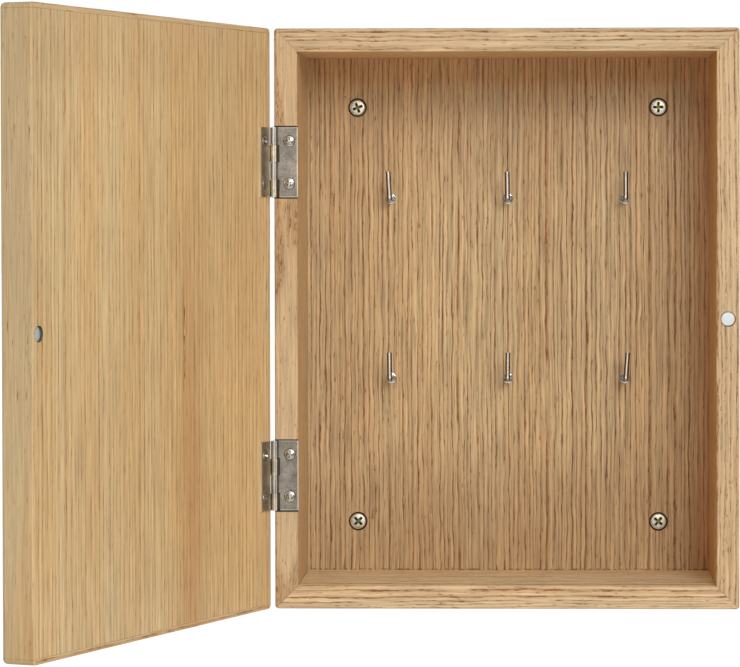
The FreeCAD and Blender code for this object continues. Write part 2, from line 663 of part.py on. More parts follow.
def door():
    """The lipped and veneered door, with its hinge pilot holes and magnet hole."""
    core = door_layer("door_core", "Sizes.veneer", "Sizes.door_thickness - 2 * Sizes.veneer")
    veneer = door_layer("door_inner_veneer", "0", "Sizes.veneer")
    door_layer("door_outer_veneer", "Sizes.door_thickness - Sizes.veneer", "Sizes.veneer")
    for layer in (core, veneer):
        drill_magnet_hole(layer)
        drill_hinge_holes(layer)
    left, right = f"({DOOR_LEFT} + Sizes.lipping)", f"({DOOR_RIGHT} - Sizes.lipping)"
    up = f"({HALF_HEIGHT} - Sizes.lipping)"
    door_lipping("door_top_lipping", left, right, up, HALF_HEIGHT)
    door_lipping("door_bottom_lipping", left, right, f"-{HALF_HEIGHT}", f"-{up}")
    door_lipping("door_hinge_lipping", DOOR_LEFT, left, f"-{HALF_HEIGHT}", HALF_HEIGHT)
    free = door_lipping("door_free_lipping", right, DOOR_RIGHT, f"-{HALF_HEIGHT}", HALF_HEIGHT)
    if value("Sizes.magnet_edge - Sizes.magnet_diameter / 2 - Sizes.magnet_play") < value("Sizes.lipping"):
        drill_magnet_hole(free)


def magnets():
    """The two round magnets that hold the door shut, in the right stile and in the door."""
    flush = (value(f"{HALF_WIDTH} - Sizes.magnet_edge"), -value("Sizes.frame_depth"), 0)
    keep(magnet("frame_magnet", "Sizes.magnet_hole"), "frame_magnet", turned((0, 0, 1), 0, flush))
    sunk = (value(f"{DOOR_RIGHT} - Sizes.magnet_edge"), value(f"{DOOR_INNER} - Sizes.magnet_sink"), 0)
    body = magnet("door_magnet", "Sizes.magnet_hole - Sizes.magnet_sink")
    keep(body, "door_magnet", door_place().multiply(turned((0, 0, 1), 180, sunk)))


def check_and_export():
    """Stops on any failed object or bad shape, then writes one STEP file per sub-part."""
    doc.recompute()
    for item in doc.Objects:
        if "Invalid" in item.State or "Error" in item.State:
            raise RuntimeError(f"{item.Label} failed: {item.State}")
    for item in sub_parts:
        if item.Shape.isNull() or not item.Shape.isValid() or item.Shape.Volume <= 0:
            raise RuntimeError(f"{item.Label} has a bad shape")
    os.makedirs("parts", exist_ok=True)
    for item in sub_parts:
        item.Shape.exportStep(f"parts/{item.Label}.step")
        print(f"{item.Label}: {len(item.Shape.Solids)} solid(s), {item.Shape.Volume:.1f} mm3")


frame()
back_panel()
group("wall_screws", [wall_screw(*place) for place in wall_screw_places()])
for hook_place in hook_places():
    hook(*hook_place)
group("hook_collars", [hook_collar(across, up) for _, _, across, up in hook_places()])
door()
hinges()
magnets()
check_and_export()
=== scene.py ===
"""Looks of a wall-hung oak key box that stands open on its two butt hinges.

Metres, +Z up, the front faces -Y, the origin is the centre of the back on the wall plane.
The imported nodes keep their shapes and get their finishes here; the screws, hinge pins and hook
collars are replaced by finer pieces in the same places.
"""

import logging
import math
from dataclasses import dataclass, field, replace
from enum import Enum
from functools import reduce
from typing import Optional, Sequence, Union

import bmesh
import bpy
from mathutils import Euler, Matrix, Vector


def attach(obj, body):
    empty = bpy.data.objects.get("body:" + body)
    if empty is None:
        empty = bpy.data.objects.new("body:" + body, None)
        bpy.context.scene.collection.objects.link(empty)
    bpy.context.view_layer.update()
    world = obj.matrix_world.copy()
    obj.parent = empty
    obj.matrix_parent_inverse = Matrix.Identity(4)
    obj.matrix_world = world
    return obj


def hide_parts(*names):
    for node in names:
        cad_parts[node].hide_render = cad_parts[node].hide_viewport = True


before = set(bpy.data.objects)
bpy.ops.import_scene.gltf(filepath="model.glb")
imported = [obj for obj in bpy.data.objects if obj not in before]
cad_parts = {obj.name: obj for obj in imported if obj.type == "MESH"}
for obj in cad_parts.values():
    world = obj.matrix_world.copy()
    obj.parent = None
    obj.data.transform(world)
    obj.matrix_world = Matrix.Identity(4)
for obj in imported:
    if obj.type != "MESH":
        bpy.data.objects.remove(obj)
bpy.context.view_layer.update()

log = logging.getLogger("key_box")

Socket = bpy.types.NodeSocket
Value = Union[float, Socket]
Colour = tuple[float, float, float]
Fade = tuple[float, float]

MM = 0.001
REST_ANGLE = math.radians(112)
PIN_AXIS = Vector((-0.1003, -0.06943, 0.0))
HALF_WIDTH = 0.1
HALF_HEIGHT = 0.125
INNER_HALF_WIDTH = 90.0 * MM
INNER_HALF_HEIGHT = 115.0 * MM
AXIS_OFFSET = 0.3 * MM
LIPPING = 2.2 * MM
HINGE_MIDDLE = 67.5 * MM
HINGE_SCREW_REACH = 6.7 * MM
HINGE_SCREW_STEP = 9.1 * MM
LEAF_WIDTH = 10.3 * MM
HALF_LEAF = 15.0 * MM
WALL_SCREW_X = 67.5 * MM
WALL_SCREW_Z = 93.0 * MM
FRAME_MAGNET = 95.0 * MM
DOOR_MAGNET = 195.3 * MM
MAGNET_HOLE = (3.25 * MM, 3.15 * MM)
HOLE_SHADE = (0.10, 0.085, 0.055)
PLAIN = (1.0, 1.0, 1.0)
WELD = 0.001 * MM
NODE_SHARP = math.radians(20)
PIECE_SHARP = math.radians(35)

# The log's unevenness, in cells of noise per metre across, across and along its fibres.
BEND_CELLS = (13, 13, 4)
WOBBLE_CELLS = (230, 230, 55)
PATCH_CELLS = (420, 420, 34)
FIBRE_CELLS = (1450, 1450, 38)
TONE_CELLS = (22, 22, 6)
WARM_CELLS = (38, 38, 3)
# How much finer the small pores are than the large ones.
SMALL_PORES = (2.3, 2.3, 1.7)
# How far the years differ in width, in rings, and how often.
YEAR_REACH = 1.6
YEAR_RATE = 0.31
# The palest year's strength as a share of the full one, and how much more the darkest may have.
PALE_YEAR = 0.55
YEAR_SPREAD = 0.4
# Where in a ring its dark line is full, as a share of the ring, and how patchy the line is.
RING_RISE = 0.1
RING_PATCHES = (0.25, 0.5)
# The noise above which a pore opens, how soon it is full, and how deep the fibres are beside it.
PORE_LEVEL = 0.60
PORE_EDGE = 0.06
FIBRE_HEIGHT = 0.4
# The noise over which the warm streaks come in.
WARM_FADE = (0.35, 0.65)
# A joint line's unevenness in cells per metre, its least width, and where it is full.
SEAM_CELLS = (900, 900, 900)
SEAM_LEAST = 0.55
SEAM_FULL = 0.3
# Handling marks on metal: cells per metre, the share of fine grit, and where bright turns dull.
HANDLING_CELLS = (160, 160, 160)
GRIT_SHARE = 0.6
DULLING = (0.35, 0.65)


def srgb(red: int, green: int, blue: int) -> Colour:
    """Turns an 8-bit screen colour into the linear one that the shaders take.

    Args:
        red: Red from 0 to 255.
        green: Green from 0 to 255.
        blue: Blue from 0 to 255.

    Returns:
        The linear colour.
    """
    parts = (value / 255 for value in (red, green, blue))
    return tuple(p / 12.92 if p <= 0.04045 else ((p + 0.055) / 1.055) ** 2.4 for p in parts)


class Grain(Enum):
    """Which way the wood's fibres run in a piece's own frame."""

    UPRIGHT = (0.0, 0.0, 0.0)
    ACROSS = (0.0, -math.pi / 2, 0.0)


class Graph:
    """A thin builder over a node tree, so that a material reads as a short list of steps."""

    def __init__(self, tree: bpy.types.NodeTree) -> None:
        """Keeps the tree.

        Args:
            tree: The node tree to build in.
        """
        self.tree = tree

    def node(self, kind: str, **settings: object) -> bpy.types.Node:
        """Adds a node.

        Args:
            kind: The node's type without its ShaderNode prefix.
            **settings: Attributes to set on it.

        Returns:
            The new node.
        """
        made = self.tree.nodes.new(f"ShaderNode{kind}")
        for name, value in settings.items():
            setattr(made, name, value)
        return made

    def put(self, target: Socket, value: object) -> None:
        """Links a socket to an input, or sets the input's own value.

        Args:
            target: The input socket.
            value: Another node's output, or a plain value.
        """
        if isinstance(value, bpy.types.NodeSocket):
            self.tree.links.new(value, target)
        elif isinstance(value, (tuple, list)) and len(value) == 3 and target.type == "RGBA":
            target.default_value = (*value, 1.0)
        else:
            target.default_value = value

    def math(self, operation: str, first: Value, second: Value = 0.0, third: Value = 0.0) -> Socket:
        """Adds a math node.

        Args:
            operation: The operation's name.
            first: First operand.
            second: Second operand.
            third: Third operand, for the operations that have one.

        Returns:
            The result's socket.
        """
        made = self.node("Math", operation=operation)
        for target, value in zip(made.inputs, (first, second, third)):
            self.put(target, value)
        return made.outputs[0]

    def gap(self, first: Value, second: Value) -> Socket:
        """How far two values are apart, without a sign."""
        return self.math("ABSOLUTE", self.math("SUBTRACT", first, second))

    def all_of(self, *masks: Value) -> Socket:
        """Where all masks are set."""
        return reduce(lambda first, second: self.math("MULTIPLY", first, second), masks)

    def away(self, across: Socket, at: float, up: Socket, at_up: float) -> Socket:
        """The distance from a point in a plane."""
        return self.vector("LENGTH", self.join(
            self.math("SUBTRACT", across, at), self.math("SUBTRACT", up, at_up), 0.0))

    def smooth(self, value: Value, low: Value, high: Value) -> Socket:
        """Ramps smoothly from 0 at low to 1 at high.

        Args:
            value: What is ramped.
            low: Where the ramp starts.
            high: Where it ends, which may be below low.

        Returns:
            The ramped value.
        """
        made = self.node("MapRange", interpolation_type="SMOOTHSTEP")
        for name, item in (("Value", value), ("From Min", low), ("From Max", high)):
            self.put(made.inputs[name], item)
        return made.outputs["Result"]

    def mix(self, share: Value, first: object, second: object, blend: str = "MIX") -> Socket:
        """Mixes two colours.

        Args:
            share: How much of the second.
            first: The first colour.
            second: The second colour.
            blend: The blend type.

        Returns:
            The mixed colour.
        """
        made = self.node("Mix", data_type="RGBA", blend_type=blend)
        for target, value in zip((made.inputs[0], made.inputs[6], made.inputs[7]), (share, first, second)):
            self.put(target, value)
        return made.outputs[2]

    def noise(self, vector: Socket, stretch: Sequence[float], detail: float = 2.0,
              roughness: float = 0.5) -> Socket:
        """Noise over stretched coordinates.

        Args:
            vector: The coordinates.
            stretch: Cells per metre along each axis.
            detail: Octaves.
            roughness: Weight of the finer octaves.

        Returns:
            The noise, from 0 to 1.
        """
        scaled = self.vector("MULTIPLY", vector, tuple(stretch))
        made = self.node("TexNoise")
        self.put(made.inputs["Vector"], scaled)
        for name, value in (("Scale", 1.0), ("Detail", detail), ("Roughness", roughness)):
            made.inputs[name].default_value = value
        return made.outputs["Fac"]

    def vector(self, operation: str, first: object, second: object = (0.0, 0.0, 0.0)) -> Socket:
        """Adds a vector math node and returns its vector.

        Args:
            operation: The operation's name.
            first: First operand.
            second: Second operand.

        Returns:
            The resulting vector, or its value for LENGTH.
        """
        made = self.node("VectorMath", operation=operation)
        self.put(made.inputs[0], first)
        self.put(made.inputs[1], second)
        return made.outputs["Value" if operation == "LENGTH" else "Vector"]

    def split(self, vector: Socket) -> list[Socket]:
        """Splits a vector.

        Args:
            vector: The vector.

        Returns:
            Its X, Y and Z.
        """
        made = self.node("SeparateXYZ")
        self.put(made.inputs[0], vector)
        return list(made.outputs)

    def join(self, x: Value, y: Value, z: Value) -> Socket:
        """Joins three values in a vector.

        Args:
            x: X.
            y: Y.
            z: Z.

        Returns:
            The vector.
        """
        made = self.node("CombineXYZ")
        for target, value in zip(made.inputs, (x, y, z)):
            self.put(target, value)
        return made.outputs[0]


def new_group(name: str, inputs: dict[str, object], outputs: Sequence[str]) -> tuple[Graph, dict, dict]:
    """Starts a shader node group.

    Args:
        name: The group's name.
        inputs: Input names with a plain value each, whose type gives the socket's.
        outputs: Output names; those that end in Colour are colours.

    Returns:
        The graph to build in, the input sockets and the group's output sockets, by name.
    """
    tree = bpy.data.node_groups.new(name, "ShaderNodeTree")
    for label, value in inputs.items():
        kind = "Vector" if value is None else ("Color" if isinstance(value, tuple) else "Float")
        made = tree.interface.new_socket(label, in_out="INPUT", socket_type=f"NodeSocket{kind}")
        if value is not None:
            made.default_value = (*value, 1.0) if isinstance(value, tuple) else value
    for label in outputs:
        kind = "Color" if label.endswith("Colour") else "Float"
        tree.interface.new_socket(label, in_out="OUTPUT", socket_type=f"NodeSocket{kind}")
    graph = Graph(tree)
    taken, given = tree.nodes.new("NodeGroupInput"), tree.nodes.new("NodeGroupOutput")
    return graph, {s.name: s for s in taken.outputs}, {s.name: s for s in given.inputs}


def oak_grain_group() -> bpy.types.NodeTree:
    """Builds the grain that every piece of oak shares, with its fibres along Z.

    Each growth ring starts with a sharp dark line of pores and fades outwards.

    Returns:
        The node group.
    """
    graph, given, out = new_group("OakGrain", {
        "Vector": None, "Early": (0.5, 0.4, 0.3), "Late": (0.4, 0.3, 0.2), "Pore": (0.3, 0.2, 0.1),
        "Ring Spacing": 0.005, "Ring Strength": 0.5, "Ring Hold": 0.12, "Pore Strength": 0.6,
        "Pore Width": 0.0012, "Pore Length": 0.02, "Tone Strength": 0.1, "Wander": 0.002, "Wobble": 0.0006,
        "Fibre Strength": 0.3, "Ring Width": 0.5, "Warmth": 0.1,
    }, ("Colour", "Pores", "Height"))
    place = given["Vector"]
    x, y, z = graph.split(place)

    def centred(noise: Socket, reach: Value) -> Socket:
        """Noise about zero, scaled."""
        return graph.math("MULTIPLY", graph.math("SUBTRACT", noise, 0.5), reach)

    broad = centred(graph.noise(place, BEND_CELLS, detail=1), given["Wander"])
    small = centred(graph.noise(place, WOBBLE_CELLS, detail=2), given["Wobble"])
    moved = graph.join(graph.math("ADD", x, graph.math("ADD", broad, small)), graph.math("ADD", y, broad), z)
    mx, my, mz = graph.split(moved)
    radius = graph.vector("LENGTH", graph.join(mx, my, 0.0))
    uneven = graph.node("TexNoise", noise_dimensions="1D")
    even = graph.math("DIVIDE", radius, given["Ring Spacing"])
    graph.put(uneven.inputs["W"], even)
    uneven.inputs["Scale"].default_value = YEAR_RATE
    uneven.inputs["Detail"].default_value = 1.0
    turn = graph.math("ADD", even, graph.math("MULTIPLY", uneven.outputs["Fac"], YEAR_REACH))
    saw = graph.math("FRACT", turn)
    start = graph.math("MULTIPLY", graph.smooth(saw, 0.0, RING_RISE),
                       graph.smooth(saw, given["Ring Width"], RING_RISE))
    year = graph.node("TexWhiteNoise", noise_dimensions="1D")
    graph.put(year.inputs["W"], graph.math("FLOOR", turn))
    strength = graph.math("MULTIPLY_ADD", year.outputs["Value"], YEAR_SPREAD, PALE_YEAR)
    patchy = graph.smooth(graph.noise(moved, PATCH_CELLS, detail=2), *RING_PATCHES)
    rings = graph.math("MULTIPLY", start, graph.math("MULTIPLY", patchy, strength))
    across = graph.math("DIVIDE", 1.0, given["Pore Width"])
    along = graph.math("DIVIDE", 1.0, given["Pore Length"])
    cells = graph.join(graph.math("MULTIPLY", mx, across), graph.math("MULTIPLY", my, across),
                       graph.math("MULTIPLY", mz, along))
    coarse = graph.noise(cells, (1, 1, 1), detail=2, roughness=0.6)
    fine = graph.noise(cells, SMALL_PORES, detail=2, roughness=0.6)
    streak = graph.math("ADD", graph.math("MULTIPLY", coarse, 0.5), graph.math("MULTIPLY", fine, 0.5))
    level = graph.math("SUBTRACT", PORE_LEVEL, graph.math("MULTIPLY", rings, given["Ring Hold"]))
    pores = graph.smooth(streak, level, graph.math("ADD", level, PORE_EDGE))
    fibre = graph.noise(moved, FIBRE_CELLS, detail=3, roughness=0.6)
    tone = graph.noise(place, TONE_CELLS, detail=2)
    base = graph.mix(graph.math("MULTIPLY", rings, given["Ring Strength"]), given["Early"], given["Late"])
    base = graph.mix(graph.math("MULTIPLY", pores, given["Pore Strength"]), base, given["Pore"])
    shade = graph.math("ADD", graph.math("ADD", 1.0, centred(tone, given["Tone Strength"])),
                       centred(fibre, given["Fibre Strength"]))
    base = graph.mix(1.0, base, graph.join(shade, shade, shade), "MULTIPLY")
    warm = graph.all_of(graph.smooth(graph.noise(moved, WARM_CELLS, detail=2), *WARM_FADE), given["Warmth"])
    warmed = graph.join(1.0, graph.math("SUBTRACT", 1.0, warm), graph.math("MULTIPLY_ADD", warm, -2.0, 1.0))
    graph.put(out["Colour"], graph.mix(1.0, base, warmed, "MULTIPLY"))
    graph.put(out["Pores"], pores)
    graph.put(out["Height"], graph.math("SUBTRACT", graph.math("MULTIPLY", fibre, FIBRE_HEIGHT), pores))
    return graph.tree


def seam_group() -> bpy.types.NodeTree:
    """Builds the thin line where two pieces of wood meet, from the distance to the joint.

    Returns:
        The node group.
    """
    graph, given, out = new_group(
        "Seam", {"Vector": None, "Distance": 0.0, "Width": 0.0002}, ("Line",))
    broken = graph.noise(given["Vector"], SEAM_CELLS, detail=1)
    width = graph.math("MULTIPLY", given["Width"], graph.math("ADD", SEAM_LEAST, broken))
    near = graph.math("ABSOLUTE", given["Distance"])
    graph.put(out["Line"], graph.smooth(near, width, graph.math("MULTIPLY", width, SEAM_FULL)))
    return graph.tree


def metal_wear_group() -> bpy.types.NodeTree:
    """Builds the fine mottling and handling marks that every plated piece shares.

    Returns:
        The node group.
    """
    graph, given, out = new_group(
        "MetalWear", {"Vector": None, "Bright": (0.6, 0.6, 0.6), "Dull": (0.4, 0.4, 0.4), "Grain": 2500.0,
                      "Roughness": 0.3, "Variation": 0.15}, ("Colour", "Roughness", "Height"))
    cells = graph.vector("MULTIPLY", given["Vector"], graph.join(*[given["Grain"]] * 3))
    grit = graph.noise(cells, (1, 1, 1), detail=3, roughness=0.65)
    patch = graph.noise(given["Vector"], HANDLING_CELLS, detail=3)
    both = graph.math("ADD", graph.math("MULTIPLY", grit, GRIT_SHARE),
                      graph.math("MULTIPLY", patch, 1 - GRIT_SHARE))
    graph.put(out["Colour"], graph.mix(graph.smooth(both, *DULLING), given["Dull"], given["Bright"]))
    spread = graph.math("MULTIPLY", graph.math("SUBTRACT", both, 0.5), given["Variation"])
    graph.put(out["Roughness"], graph.math("ADD", given["Roughness"], spread))
    graph.put(out["Height"], grit)
    return graph.tree


GROUPS = {"grain": oak_grain_group(), "seam": seam_group(), "markings": metal_wear_group()}


@dataclass(frozen=True)
class Finish:
    """What every finish has: a name, a way to start its material and a way to close it."""

    name: str

    def start(self, label: str) -> tuple[Graph, Socket, bpy.types.Node, bpy.types.Material]:
        """Starts a material with a Principled shader.

        Args:
            label: What the material is for.

        Returns:
            The graph, the object coordinates, the shader and the material.
        """
        material = bpy.data.materials.new(f"{self.name}_{label}")
        material.use_nodes = True
        shader = material.node_tree.nodes["Principled BSDF"]
        graph = Graph(material.node_tree)
        place = graph.node("TexCoord").outputs["Object"]
        return graph, place, shader, material

    def shared(self, graph: Graph, key: str, **values: object) -> dict[str, Socket]:
        """Places a shared group and sets its inputs.

        Args:
            graph: The material's graph.
            key: Which group.
            **values: Its inputs, with underscores for spaces.

        Returns:
            Its outputs by name.
        """
        node = graph.node("Group", node_tree=GROUPS[key])
        for name, value in values.items():
            graph.put(node.inputs[name.replace("_", " ")], value)
        return {s.name: s for s in node.outputs}

    def bump(self, graph: Graph, shader: bpy.types.Node, height: Socket, depth: float) -> None:
        """Feeds a height to the shader's normal.

        Args:
            graph: The material's graph.
            shader: The Principled shader.
            height: The height.
            depth: How deep it is, in metres.
        """
        node = graph.node("Bump")
        node.inputs["Strength"].default_value = 1.0
        node.inputs["Distance"].default_value = depth
        graph.put(node.inputs["Height"], height)
        graph.put(shader.inputs["Normal"], node.outputs["Normal"])


@dataclass(frozen=True)
class PiecePlace:
    """Where a piece of wood has its own frame, and where in the log it was cut."""

    grain: Grain = Grain.UPRIGHT
    on_door: bool = False
    log_offset: tuple[float, float, float] = (0.05, 0.3, 0.0)
    # The shade scales the piece's colour: its tone, and on the rails painted shade on the top one and
    # painted light on the bottom one. The tint after it paints light and shade on the faces inside the box.
    shade: float = 1.0
    inner: Colour = PLAIN

    def coordinates(self, graph: Graph, place: Socket) -> tuple[Socket, Socket]:
        """Turns object coordinates into the piece's frame and into the log's.

        Args:
            graph: The material's graph.
            place: Object coordinates.

        Returns:
            Coordinates in the piece's frame, and in the log with the fibres along Z.
        """
        own = place
        if self.on_door:
            back = Matrix.Rotation(REST_ANGLE, 3, "Z")
            own = self.mapping(graph, place, back.to_euler(), back @ -PIN_AXIS)
        return own, self.mapping(graph, own, Euler(self.grain.value), Vector(self.log_offset))

    @staticmethod
    def mapping(graph: Graph, vector: Socket, turn: Euler, move: Vector) -> Socket:
        """Adds a Mapping node.

        Args:
            graph: The material's graph.
            vector: The coordinates.
            turn: The rotation.
            move: The translation after it.

        Returns:
            The mapped coordinates.
        """
        node = graph.node("Mapping")
        node.inputs["Rotation"].default_value = turn
        node.inputs["Location"].default_value = move
        graph.put(node.inputs["Vector"], vector)
        return node.outputs["Vector"]


class SeamKind(Enum):
    """Which joint lines, marks and painted light and shade show on a piece of wood."""

    MITRE = 0
    HINGED = 1
    MAGNETIC = 2
    LIPPING = 3
    PANEL = 4


@dataclass(frozen=True)
class ColourLayer:
    """How much of a mark's colour covers what is under it, and that colour."""

    strength: float
    colour: Colour


Marks = list[tuple[Socket, ColourLayer]]


@dataclass(frozen=True)
class DoorMarksAndShade:
    """Where the door is marked and where shade is painted on it, in its own frame. A fade runs from no mark
    to the full one.
    """

    inner_side: float = -7.0 * MM
    dark_grain: float = 79.0 * MM
    drift: float = 14.0 * MM
    drift_cells: tuple[int, int, int] = (30, 30, 9)
    band_aside: Fade = (16.0 * MM, 2.0 * MM)
    band_height: Fade = (100.0 * MM, -60.0 * MM)
    band: ColourLayer = ColourLayer(0.36, srgb(180, 118, 58))
    # Painted shade: the side that faces into the box is darker towards its top.
    upper_height: Fade = (80.0 * MM, 112.0 * MM)
    upper: ColourLayer = ColourLayer(0.14, srgb(150, 106, 56))
    streak_aside: Fade = (0.9 * MM, 0.3 * MM)
    streak_middle: float = -7.0 * MM
    streak_height: Fade = (16.0 * MM, 14.0 * MM)
    streak_cells: tuple[int, int, int] = (1500, 1500, 260)
    streak_breaks: Fade = (0.42, 0.6)
    streak: ColourLayer = ColourLayer(0.9, srgb(104, 54, 22))
    # Painted shade that dulls the light on the free arris.
    arris_across: Fade = (199.3 * MM, 199.8 * MM)
    arris_depth: float = -1.4 * MM
    arris: ColourLayer = ColourLayer(0.5, srgb(168, 138, 98))
    line_width: float = 0.16 * MM
    line_strength: float = 0.4


@dataclass(frozen=True)
class PanelMarksAndShading:
    """Where the back panel is marked and where light and shade are painted on it, in the box's frame. A fade
    runs from no mark to the full one.
    """

    foot: float = -114.8 * MM
    crumb_cells: tuple[int, int, int] = (700, 700, 700)
    crumbs: Fade = (0.45, 0.62)
    dust_height: Fade = (0.9 * MM, 0.2 * MM)
    dust_strength: float = 0.8
    # Painted shade in the gap round each wall screw's head.
    rim: Fade = (4.3 * MM, 4.1 * MM)
    speck_at: tuple[float, float] = (-73.0 * MM, 97.9 * MM)
    speck: Fade = (0.45 * MM, 0.2 * MM)
    speck_strength: float = 0.7
    # Painted shade: darker towards the panel's ends and sides, but not in its topmost strip.
    sides: Fade = (40.0 * MM, 75.0 * MM)
    sides_share: float = 0.6
    ends: Fade = (40.0 * MM, 92.0 * MM)
    top: Fade = (108.0 * MM, 94.0 * MM)
    edge: ColourLayer = ColourLayer(0.26, srgb(122, 82, 58))
    # Painted warm bounce light in the shade near the right and top walls.
    glow_right: Fade = (78.0 * MM, 88.0 * MM)
    glow_top: Fade = (97.0 * MM, 111.0 * MM)
    glow: ColourLayer = ColourLayer(0.2, srgb(230, 150, 80))


@dataclass(frozen=True)
class FrameLinesAndShade:
    """The joint lines of the frame and the shade painted in its gaps. A fade runs from no mark to the full
    one.
    """

    mitre_width: float = 0.2 * MM
    mitre_strength: float = 0.38
    # Painted shade in the gaps at the mortise ends, in the barrel relief and round the magnet.
    mortise_end: float = 15.3 * MM
    mortise_gap: Fade = (0.5 * MM, 0.3 * MM)
    mortise_front: float = -67.6 * MM
    relief: Fade = (3.2 * MM, 2.9 * MM)
    magnet_gap: float = 3.15 * MM
    magnet_line: Fade = (0.4 * MM, 0.1 * MM)
    magnet_lower: Fade = (0.0, 3.5 * MM)
    magnet_least: float = 0.2
    magnet_more: float = 0.7
    gap_strength: float = 0.9


@dataclass(frozen=True)
class WoodMarks:
    """The joint lines, stains and dust of one piece of wood, and the light and shade painted on it, in its
    own frame.
    """

    graph: Graph
    own: Socket
    joint: Colour = srgb(110, 76, 46)
    # A speck on the panel takes this colour, and so does the shade painted in the frame's gaps and round the
    # panel's screws.
    speck_and_gap_shade: Colour = srgb(30, 16, 8)

    def thin(self, gap: Socket, width: float) -> Socket:
        """Draws a thin uneven line where the distance is nought.

        Args:
            gap: The distance.
            width: The line's half width.

        Returns:
            The line's mask.
        """
        line = self.graph.node("Group", node_tree=GROUPS["seam"])
        for name, value in (("Vector", self.own), ("Distance", gap), ("Width", width)):
            self.graph.put(line.inputs[name], value)
        return line.outputs["Line"]

    def of(self, seams: SeamKind) -> Marks:
        """Gathers the marks of one kind of piece.

        Args:
            seams: Which joints the piece has.

        Returns:
            Masks with their colour layers, in the order they are laid.
        """
        steps = {
            SeamKind.MITRE: (self.mitre,), SeamKind.HINGED: (self.mitre, self.hinged),
            SeamKind.MAGNETIC: (self.mitre, self.magnetic), SeamKind.LIPPING: (self.door,),
            SeamKind.PANEL: (self.panel,)}
        return [mark for step in steps[seams] for mark in step()]

    def door(self) -> Marks:
        """Marks the door's lipping lines and a warm band and dark streak on the side that faces into the
        box, and paints shade in its magnet hole, towards the top of that side and on its free arris.

        Returns:
            Masks with their colour layers.
        """
        graph, markings = self.graph, DoorMarksAndShade()
        x, y, z = graph.split(self.own)
        inside = graph.math("GREATER_THAN", y, markings.inner_side)
        hole = graph.smooth(graph.away(x, DOOR_MAGNET, z, 0.0), *MAGNET_HOLE)
        drift = graph.math("MULTIPLY", graph.noise(self.own, markings.drift_cells, detail=2), markings.drift)
        aside = graph.gap(graph.math("ADD", x, drift), markings.dark_grain)
        band = graph.all_of(graph.smooth(aside, *markings.band_aside), graph.smooth(z, *markings.band_height))
        upper = graph.smooth(z, *markings.upper_height)
        broken = graph.smooth(graph.noise(self.own, markings.streak_cells, detail=2), *markings.streak_breaks)
        streak = graph.all_of(graph.smooth(graph.gap(x, markings.dark_grain), *markings.streak_aside), broken,
                              graph.smooth(graph.gap(z, markings.streak_middle), *markings.streak_height))
        arris = graph.all_of(graph.smooth(x, *markings.arris_across),
                             graph.math("GREATER_THAN", y, markings.arris_depth))
        lines = (graph.math("SUBTRACT", graph.math("ABSOLUTE", z), HALF_HEIGHT - LIPPING),
                 graph.math("SUBTRACT", x, AXIS_OFFSET + LIPPING))
        return [(graph.all_of(band, inside), markings.band), (graph.all_of(upper, inside), markings.upper),
                (graph.all_of(streak, inside), markings.streak), (arris, markings.arris),
                (graph.all_of(hole, inside), ColourLayer(1.0, HOLE_SHADE)),
                *((self.thin(line, markings.line_width), ColourLayer(markings.line_strength, self.joint))
                  for line in lines)]

    def panel(self) -> Marks:
        """Marks the panel's crumbs of dust and a speck, and paints shade towards its edges and round its
        screw heads, and warm bounce light near its top and right walls.

        Returns:
            Masks with their colour layers.
        """
        graph, markings = self.graph, PanelMarksAndShading()
        x, _, z = graph.split(self.own)
        wide, high = graph.math("ABSOLUTE", x), graph.math("ABSOLUTE", z)
        crumbs = graph.smooth(graph.noise(self.own, markings.crumb_cells, detail=2), *markings.crumbs)
        dust = graph.all_of(crumbs, graph.smooth(graph.gap(z, markings.foot), *markings.dust_height))
        rim = graph.smooth(graph.away(wide, WALL_SCREW_X, high, WALL_SCREW_Z), *markings.rim)
        speck = graph.smooth(graph.away(x, markings.speck_at[0], z, markings.speck_at[1]), *markings.speck)
        sides = graph.all_of(graph.smooth(wide, *markings.sides), markings.sides_share)
        edge = graph.all_of(graph.math("MAXIMUM", graph.smooth(high, *markings.ends), sides),
                            graph.smooth(z, *markings.top))
        glow = graph.math("MAXIMUM", graph.smooth(x, *markings.glow_right), graph.smooth(z, *markings.glow_top))
        return [(edge, markings.edge), (glow, markings.glow), (dust, ColourLayer(markings.dust_strength, self.joint)),
                (rim, ColourLayer(1.0, self.speck_and_gap_shade)), (speck, ColourLayer(markings.speck_strength, self.speck_and_gap_shade))]

    def mitre(self) -> Marks:
        """Draws the mitre line at both ends of a board.

        Returns:
            Its mask with its stain.
        """
        graph, markings = self.graph, FrameLinesAndShade()
        x, _, z = graph.split(self.own)
        slant = graph.math("SUBTRACT", graph.math("SUBTRACT", graph.math("ABSOLUTE", x), HALF_WIDTH),
                           graph.math("SUBTRACT", graph.math("ABSOLUTE", z), HALF_HEIGHT))
        # Its mask with its colour layer.
        return [(self.thin(slant, markings.mitre_width), ColourLayer(markings.mitre_strength, self.joint))]

    def hinged(self) -> Marks:
        """Paints shade in the gaps at the ends of the hinges' mortises and in the relief of their barrels.

        Returns:
            Masks with their colour layers.
        """
        graph, markings = self.graph, FrameLinesAndShade()
        x, y, z = graph.split(self.own)
        along = graph.gap(graph.math("ABSOLUTE", z), HINGE_MIDDLE)
        ends = graph.all_of(graph.smooth(graph.gap(along, markings.mortise_end), *markings.mortise_gap),
                            graph.math("LESS_THAN", y, markings.mortise_front))
        relief = graph.all_of(graph.smooth(graph.away(x, PIN_AXIS.x, y, PIN_AXIS.y), *markings.relief),
                              graph.math("LESS_THAN", along, markings.mortise_end))
        return [(mask, ColourLayer(markings.gap_strength, self.speck_and_gap_shade)) for mask in (ends, relief)]

